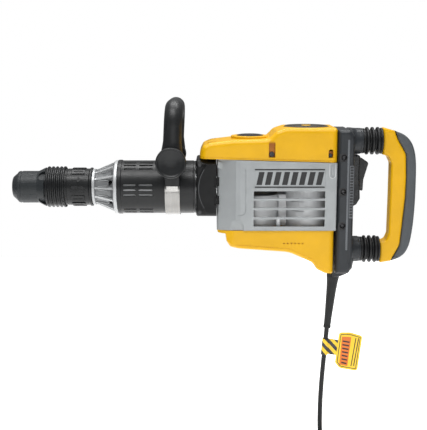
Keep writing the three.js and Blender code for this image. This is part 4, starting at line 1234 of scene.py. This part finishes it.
def screw_head(name, at, side, radius, height):
    """A pan head with a six-sided socket, facing outwards along Y."""
    x, y, z = at
    tip = y + side * height
    head = turned(name, "y", [(y, 0), (y, radius), (tip, radius, 0.9), (tip, 0)], 40, (x, 0, z), 4)
    cut(head, hoop("socket", "y", tip - side * 1.8, tip + side, 0, radius * 0.5, 0, 6, (x, 0, z)))
    return settle(polish(head, 0.12), DARK_STEEL)


def crank_cap():
    body = turned("crank_cap_v", "z", [
        (BOSS_TOP - 3.1, 0), (BOSS_TOP - 3.1, 23.8), (BOSS_TOP + 0.4, 23.8, 0.6), (BOSS_TOP + 1.7, 19, 5),
        (BOSS_TOP + 2.1, 8, 6), (BOSS_TOP + 2.1, 0)], 96, (BOSS_X, 0, 0), 6)
    cut(body, slab("slot", "xy", rect((BOSS_X - 15, BOSS_X + 15), (-1.5, 1.5), 1), BOSS_TOP + 0.9, 110))
    return settle(polish(body, 0.25), SMOOTH_BLACK, "crank_cap")


def vent_cap():
    body = turned("vent_cap_v", "z", [
        (HUMP_TOP - 2.6, 0), (HUMP_TOP - 2.6, 40.3), (HUMP_TOP, 40.3, 0.8), (HUMP_TOP + 1.5, 37.4, 1),
        (HUMP_TOP + 1.5, 0)], 128, (VENT_X, 0, 0), 4)
    slots = []
    for k in range(24):
        slot = slab("slot", "xy", mirrored([(22, -1.1, 1), (35, -1.6, 1.4)]),
                    HUMP_TOP - 1, 120, 0, 1, 4)
        slots.append(spin(shift(slot, (VENT_X, 0, 0)), "Z", 15 * k, (VENT_X, 0, 0)))
    cut(body, slots)
    settle(polish(body, 0.25), VENT_GREY, "vent_cap")
    hub = turned("vent_hub", "z", [
        (HUMP_TOP + 1.3, 0), (HUMP_TOP + 1.3, 9), (HUMP_TOP + 1.9, 8.4, 0.2), (HUMP_TOP + 1.9, 0)], 64,
                 (VENT_X, 0, 0))
    return settle(polish(hub, 0), YELLOW)


def bottom_housing():
    side = [(371.3, -50), (371.3, -76.8, 3), (385.6, -79, 2), (387.3, -92, 8), (394, -102.6, 8),
            (409, -106.3, 30), (500, -112.8, 60), (543, -132, 22), (550, -144, 14), (565, -151.6, 16),
            (579.7, -152.8, 4), (579.7, -50)]
    body = slab("bottom_housing_v", "xz", side, -50.8, 50.8, 9.5, 8, 8)
    plan = slab("plan", "xy", mirrored([(370.8, -40, 8), (400, -50.8, 20), (592, -50.8)]),
                -200, -20, 0, 1, 10)
    common(body, plan)
    cut(body, block("above", (300, 700), (-80, 80), (-72.4, 0)))
    cut(body, slab("hollow", "xy", mirrored([(392, -40, 8), (572, -44, 4)]), -98, 0))
    grooves = []
    for sign in (-1, 1):
        y = flank(sign, 50.1, 60)
        grooves.append(slab("swage", "xz", [
            (404, -98.6), (500, -105.6), (541, -124), (541.4, -122.6), (500.6, -104.2), (404.3, -97.2)], *y))
    cut(body, grooves)
    pips = []
    for sign in (-1, 1):
        for k in range(6):
            x = 489 + 6.6 * k
            pips.append(slab("pip", "xz", [
                (x, -96.4, 0.8), (x + 3.2, -96.6, 0.8), (x + 3.2, -94.0, 0.8), (x, -93.8, 0.8)],
                *flank(sign, 47.8, 60)))
    cut(body, pips)
    return settle(polish(body, 0.7, 3, 34), YELLOW, "bottom_housing")


clamp_saddle()
clamp_band()
side_handle()
clamp_knob()
clamp_bolt()
gear_housing()
groove_rims()
flange_tabs()
nameplate()
motor_can()
top_cover()
crank_cap()
vent_cap()
bottom_housing()

# ---------------------------------------------------------------- rear housing and switch

REAR_START, REAR_END, REAR_HALF = 583.6, 613.8, 49.8
SCREW_X, SCREW_HEIGHTS = 594.5, (58.5, -2.8, -64)
STUB_R = 23.8
STUBS = ((84, 633.2), (-115.6, 633.8))      # height and end along X


def rear_housing():
    """Two moulded halves: a column, a foot over the cord and a round stub for each end of the handle."""
    column = slab("column", "xz", [
        (REAR_START, -152.2, 1), (607.8, -152.2, 5), (REAR_END, -141, 5), (REAR_END, 96, 5),
        (606, 106.8, 5), (REAR_START, 106.8, 1)], -REAR_HALF, REAR_HALF, 7.8, 6, 6)
    join(column, slab("foot", "xz", [
        (REAR_START, -120), (621.8, -120), (621.8, -128, 10), (618.6, -149, 6), (607.8, -159.6, 5),
        (592, -165.6, 3), (REAR_START, -165.8, 2)], -21.8, 21.8, 4.5, 4, 6))
    for z, end in STUBS:
        join(column, turned("stub", "x", [
            (600, 0), (600, STUB_R), (end - 4.2, STUB_R, 0.6), (end - 3.4, STUB_R - 0.9, 0.4),
            (end, STUB_R - 0.9, 1), (end, 0)], 96, (0, 0, z), 3))
        join(column, turned("fillet", "x", [
            (608, 0), (608, STUB_R + 7), (REAR_END - 0.4, STUB_R + 6.4), (REAR_END + 1.6, STUB_R + 3.2),
            (REAR_END + 4.6, STUB_R + 1.1), (REAR_END + 8.6, STUB_R - 0.3), (REAR_END + 8.6, 0)],
            96, (0, 0, z)))
    cut(column, block("above", (580, 660), (-60, 60), (106.9, 130)))
    steps = []
    for side in (-1, 1):
        y = flank(side, REAR_HALF - 0.9, 60)
        steps.append(slab("step", "xz", [
            (604.2, -130, 2), (617, -130), (617, 92), (604.2, 92, 2)], *y))
    cut(column, steps)
    cavity = slab("cavity", "xz", rect((588.5, 609), (-98, 60), 3), -45.6, 45.6)
    posts = [rod("post", "y", -60, 60, 7.4, (596, 0, z)) for z in SCREW_HEIGHTS]
    cut(cavity, posts)
    cut(column, cavity)
    for z in SCREW_HEIGHTS:
        cut(column, rod("counterbore", "y", -60, -REAR_HALF + 13, 5.5, (SCREW_X, 0, z), 48))
        cut(column, rod("screw_hole", "y", -52, 22.5, 2.8, (SCREW_X, 0, z), 24))
        cut(column, slab("relief", "xz", [
            (SCREW_X - 8, z - 7.5, 3), (SCREW_X + 5.5, z - 7.5, 5), (SCREW_X + 5.5, z + 7.5, 5),
            (SCREW_X - 8, z + 7.5, 3)],
            -60, -REAR_HALF + 1.1, 0, 1, 6))
    for z, end in STUBS:
        cut(column, rod("bore", "x", 588.8, 660, 9.0, (0, 0, z)))
    cut(column, block("window", (600, 640), (-12.5, 12.5), (5.5, 46.5)))
    cut(column, rod("guard_seat", "z", -180, -130, 12.4, (GUARD_TOP[0], 0, 0)))
    for name, side in (("left", (-90, -0.2)), ("right", (0.2, 90))):
        half = gathered("rear_housing_%s_v" % name, [block("half", (500, 700), side, (-200, 200))])
        common(half, copied(column))
        settle(polish(half, 0.6, 3, 34), GREY, "rear_housing_" + name)
    bpy.data.objects.remove(column)


def air_strips():
    """A ladder of small air holes down each flank, beside the step."""
    for i, side in enumerate((-1, 1)):
        y = flank(side, REAR_HALF - 0.8, REAR_HALF - 0.1)
        strip = slab("air_strip_%d" % i, "xz", rect((605.2, 612.4), (-50, 44), 1), *y, 0.2, 1, 3)
        holes = []
        for k in range(18):
            z = -47.4 + 5.1 * k
            holes.append(slab("hole", "xz", rect((606.2, 611.6), (z, z + 3.5), 0.8),
                              *flank(side, 40, 60), 0, 1, 3))
        cut(strip, holes)
        settle(polish(strip, 0), STRIP_GREY_AND_HIGHLIGHT)
        # a lighter grey strip beside the step on each flank: a painted highlight where the flank's bevel
        # catches the light
        edge = slab("flank_highlight_%d" % i, "xz", rect((600.4, 604), (-108, 90), 1),
                    *flank(side, REAR_HALF - 0.5, REAR_HALF + 0.3), 0.3, 2, 3)
        settle(polish(edge, 0), STRIP_GREY_AND_HIGHLIGHT)
        # a black sheet behind each strip's holes: painted shade in the holes
        back = block("air_strip_back_%d" % i, (605.6, 612), flank(side, REAR_HALF - 0.9, REAR_HALF - 0.6),
                     (-49, 43))
        settle(polish(back, 0.05), PRINT_AND_SHADE)


def housing_screws():
    for name, z in zip(("upper", "middle", "lower"), SCREW_HEIGHTS):
        body = turned("housing_screw_%s_v" % name, "y", [
            (-45.2, 0), (-45.2, 2.6), (-45.9, 3.4, 0.4), (-45.2, 4.6, 0.5), (-38, 4.6), (-38, 2.2),
            (21, 2.2, 0.8), (21, 0)],
            36, (SCREW_X, 0, z))
        cut(body, hoop("socket", "y", -47, -43.5, 0, 2.2, 0, 6, (SCREW_X, 0, z)))
        settle(polish(body, 0.1), DARK_STEEL, "housing_screw_" + name)
        # a black sheet in each screw relief and a black sleeve in each counterbore: painted shade in the
        # recesses
        pocket = slab("screw_relief_shade_" + name, "xz", [
            (SCREW_X - 7.7, z - 7.2, 3), (SCREW_X + 5.2, z - 7.2, 5), (SCREW_X + 5.2, z + 7.2, 5),
            (SCREW_X - 7.7, z + 7.2, 3)],
            -REAR_HALF + 0.8, -REAR_HALF + 1.3)
        cut(pocket, rod("hole", "y", -60, -40, 5.5, (SCREW_X, 0, z)))
        settle(polish(pocket, 0), PRINT_AND_SHADE)
        bore_shade = turned("screw_bore_shade_" + name, "y", [
            (-45, 4.75), (-49.2, 4.75, 0.2), (-49.2, 5.45, 0.2), (-45, 5.45)], 48, (SCREW_X, 0, z))
        settle(polish(bore_shade, 0), PRINT_AND_SHADE)


def switch():
    """A frame of bars at the handle side with a wedge-shaped rocker in it."""
    plate = slab("switch_bezel_v", "xz", [
        (614.5, -35.8, 2), (624, -30.8, 3), (630.2, -20, 6), (627.8, 30, 8), (628.8, 58.8, 3),
        (614.5, 58.8, 2)],
        -14.8, 14.8, 2.4, 4, 6)
    cut(plate, block("opening", (600, 650), (-10, 10), (-12.6, 56)))
    ribs = []
    for k in range(5):
        z = -31 + 3.6 * k
        for side in (-1, 1):
            ribs.append(block("rib", (617, 623), flank(side, 14.2, 16), (z, z + 1.3)))
    cut(plate, ribs)
    settle(polish(plate, 0.4), SMOOTH_BLACK, "switch_bezel")
    rocker = slab("rocker_switch_v", "xz", [
        (618.2, -2.8, 1), (635.6, -6.6, 2), (636.4, 14, 8), (644.6, 43, 2), (643.4, 46.2, 2),
        (633, 53.2, 4), (620.2, 53.2, 2)],
        -8.9, 8.9, 1.6, 4, 8)
    grooves = [spin(block("groove", (638.4 + 1.55 * k, 640.2 + 1.55 * k), (-6, 6),
                          (22 + 4.4 * k, 23.4 + 4.4 * k)), "Y", -14,
                    (639 + 1.55 * k, 0, 22.6 + 4.4 * k)) for k in range(4)]
    cut(rocker, grooves)
    settle(polish(rocker, 0.4), SMOOTH_BLACK, "rocker_switch", "rocker")
    box = slab("switch_body_v", "xz", rect((590.4, 613), (6.4, 45.6), 1), -11.8, 11.8, 0.6, 2)
    seams = [block("seam", (589, 614.5), side, (25, 26)) for side in ((-12.5, -11.3), (11.3, 12.5))]
    cut(box, seams)
    settle(polish(box, 0.2), BLACK, "switch_body")


# ---------------------------------------------------------------- rear handle

UPPER_X, LOWER_X, HANDLE_HALF = 669.2, 669.6, 15.8
# the line where the soft grip meets the frame, from top to bottom
JOIN_LINE = [(689.8, 103), (696.2, 87, 18), (711.6, 61, 22), (713.4, 20, 60), (712.9, -19, 60),
             (705.8, -106.5, 30), (690.1, -136)]


def handle_frame():
    inner = [(UPPER_X, 60.2), (678.6, 57.2, 7), (685, 44, 12), (685.2, -20, 60), (684.8, -86, 14),
             (680.2, -97.2, 8), (LOWER_X, -101.2)]
    join_line = [(c[0] - 0.4, *c[1:]) for c in JOIN_LINE]
    shape = join_line + [(LOWER_X, -139.4, 2)] + inner[::-1] + [(UPPER_X, 108.8, 3)]
    body = slab("handle_frame_v", "xz", shape, -HANDLE_HALF, HANDLE_HALF, 4.8, 6, 8)
    for (z, _), x in zip(STUBS, (UPPER_X, LOWER_X)):
        cut(body, rod("bore", "x", x - 5, x + 15.6, 8.5, (0, 0, z)))
    settle(polish(body, 0.5, 3, 34), YELLOW, "handle_frame", "handle")


def rear_grip():
    back = [(690.8, -135.4), (703, -131), (714.5, -122.5), (722, -108.5), (725.9, -91), (729, -64),
            (730.7, -30), (731, 8), (730, 44), (726.5, 67), (719.5, 83.5), (707.5, 95.5), (690.7, 102.8)]
    outer = [(p.x, p.z) for p in smooth_line([(x, 0, z) for x, z in back], 5)]
    shape = [(c[0] + 0.1, *c[1:]) for c in JOIN_LINE[1:-1]] + outer
    body = slab("rear_grip_v", "xz", shape, -HANDLE_HALF - 0.1, HANDLE_HALF + 0.1, 4.9, 6, 8)
    ribs = [block("rib", (728.9, 735), (-9, 9), (-60 + 4.2 * k, -58.5 + 4.2 * k)) for k in range(26)]
    cut(body, ribs)
    return settle(polish(body, 0.4, 3, 34), GRIP, "rear_grip", "handle")


def bellows(name, z, start, end):
    """Three deep folds between a lip on the stub and a lip on the handle."""
    pitch = (end - start - 6) / 3
    outside = []
    for k in range(3):
        x = start + 3 + k * pitch
        outside += [(x + 0.9, 19.6, 1.2), (x + pitch * 0.34, 24.9, 1.3), (x + pitch * 0.66, 24.9, 1.3),
                    (x + pitch - 0.9, 19.6, 1.2)]
    body = turned(name + "_v", "x", [
        (start, 12.4), (start, 22.6, 0.8), (start + 3, 22.6, 0.8), *outside, (end - 3, 23.4, 0.8),
        (end, 23.4, 0.8), (end, 12.4)],
        96, (0, 0, z), 4)
    return bridge(polish(body, 0), RUBBER, name)


def guide_rod(name, z, end):
    body = turned(name + "_v", "x", [
        (602.2, 0), (602.2, 7.8, 1), (end + 4, 7.8, 0.3), (end + 4.6, 7.2, 0.2), (end + 6, 7.2, 0.2),
        (end + 6.6, 7.8, 0.3), (end + 14.8, 7.8, 0.8), (end + 14.8, 0)], 48, (0, 0, z), 3)
    return settle(polish(body, 0), STEEL, name, "handle")


rear_housing()
air_strips()
housing_screws()
switch()
handle_frame()
rear_grip()
bellows("bellows_upper", STUBS[0][0], STUBS[0][1] + 0.4, UPPER_X - 0.5)
bellows("bellows_lower", STUBS[1][0], STUBS[1][1] + 0.4, LOWER_X - 0.5)
guide_rod("guide_rod_upper", STUBS[0][0], UPPER_X)
guide_rod("guide_rod_lower", STUBS[1][0], LOWER_X)

# ---------------------------------------------------------------- inner works

INNER_FINISH = {
    "lock_segment_left": STEEL, "lock_segment_right": STEEL, "beat_piece": STEEL, "ram": STEEL,
    "piston": STEEL, "wrist_pin": STEEL, "connecting_rod": STEEL, "crankshaft": STEEL, "crank_gear": STEEL,
    "idler_gear": STEEL, "crank_bearing_lower": STEEL, "crank_bearing_upper": STEEL,
    "rotor_bearing_lower": STEEL,
    "rotor_bearing_upper": STEEL, "rotor_shaft": STEEL, "rotor_core": WINDING, "stator": INNER_CAST,
    "cooling_fan": BLACK,
    "brush_left": CARBON, "brush_right": CARBON,
}
for name, finish in INNER_FINISH.items():
    node = bpy.data.objects[name]
    node.data.materials.clear()
    node.data.materials.append(finish)
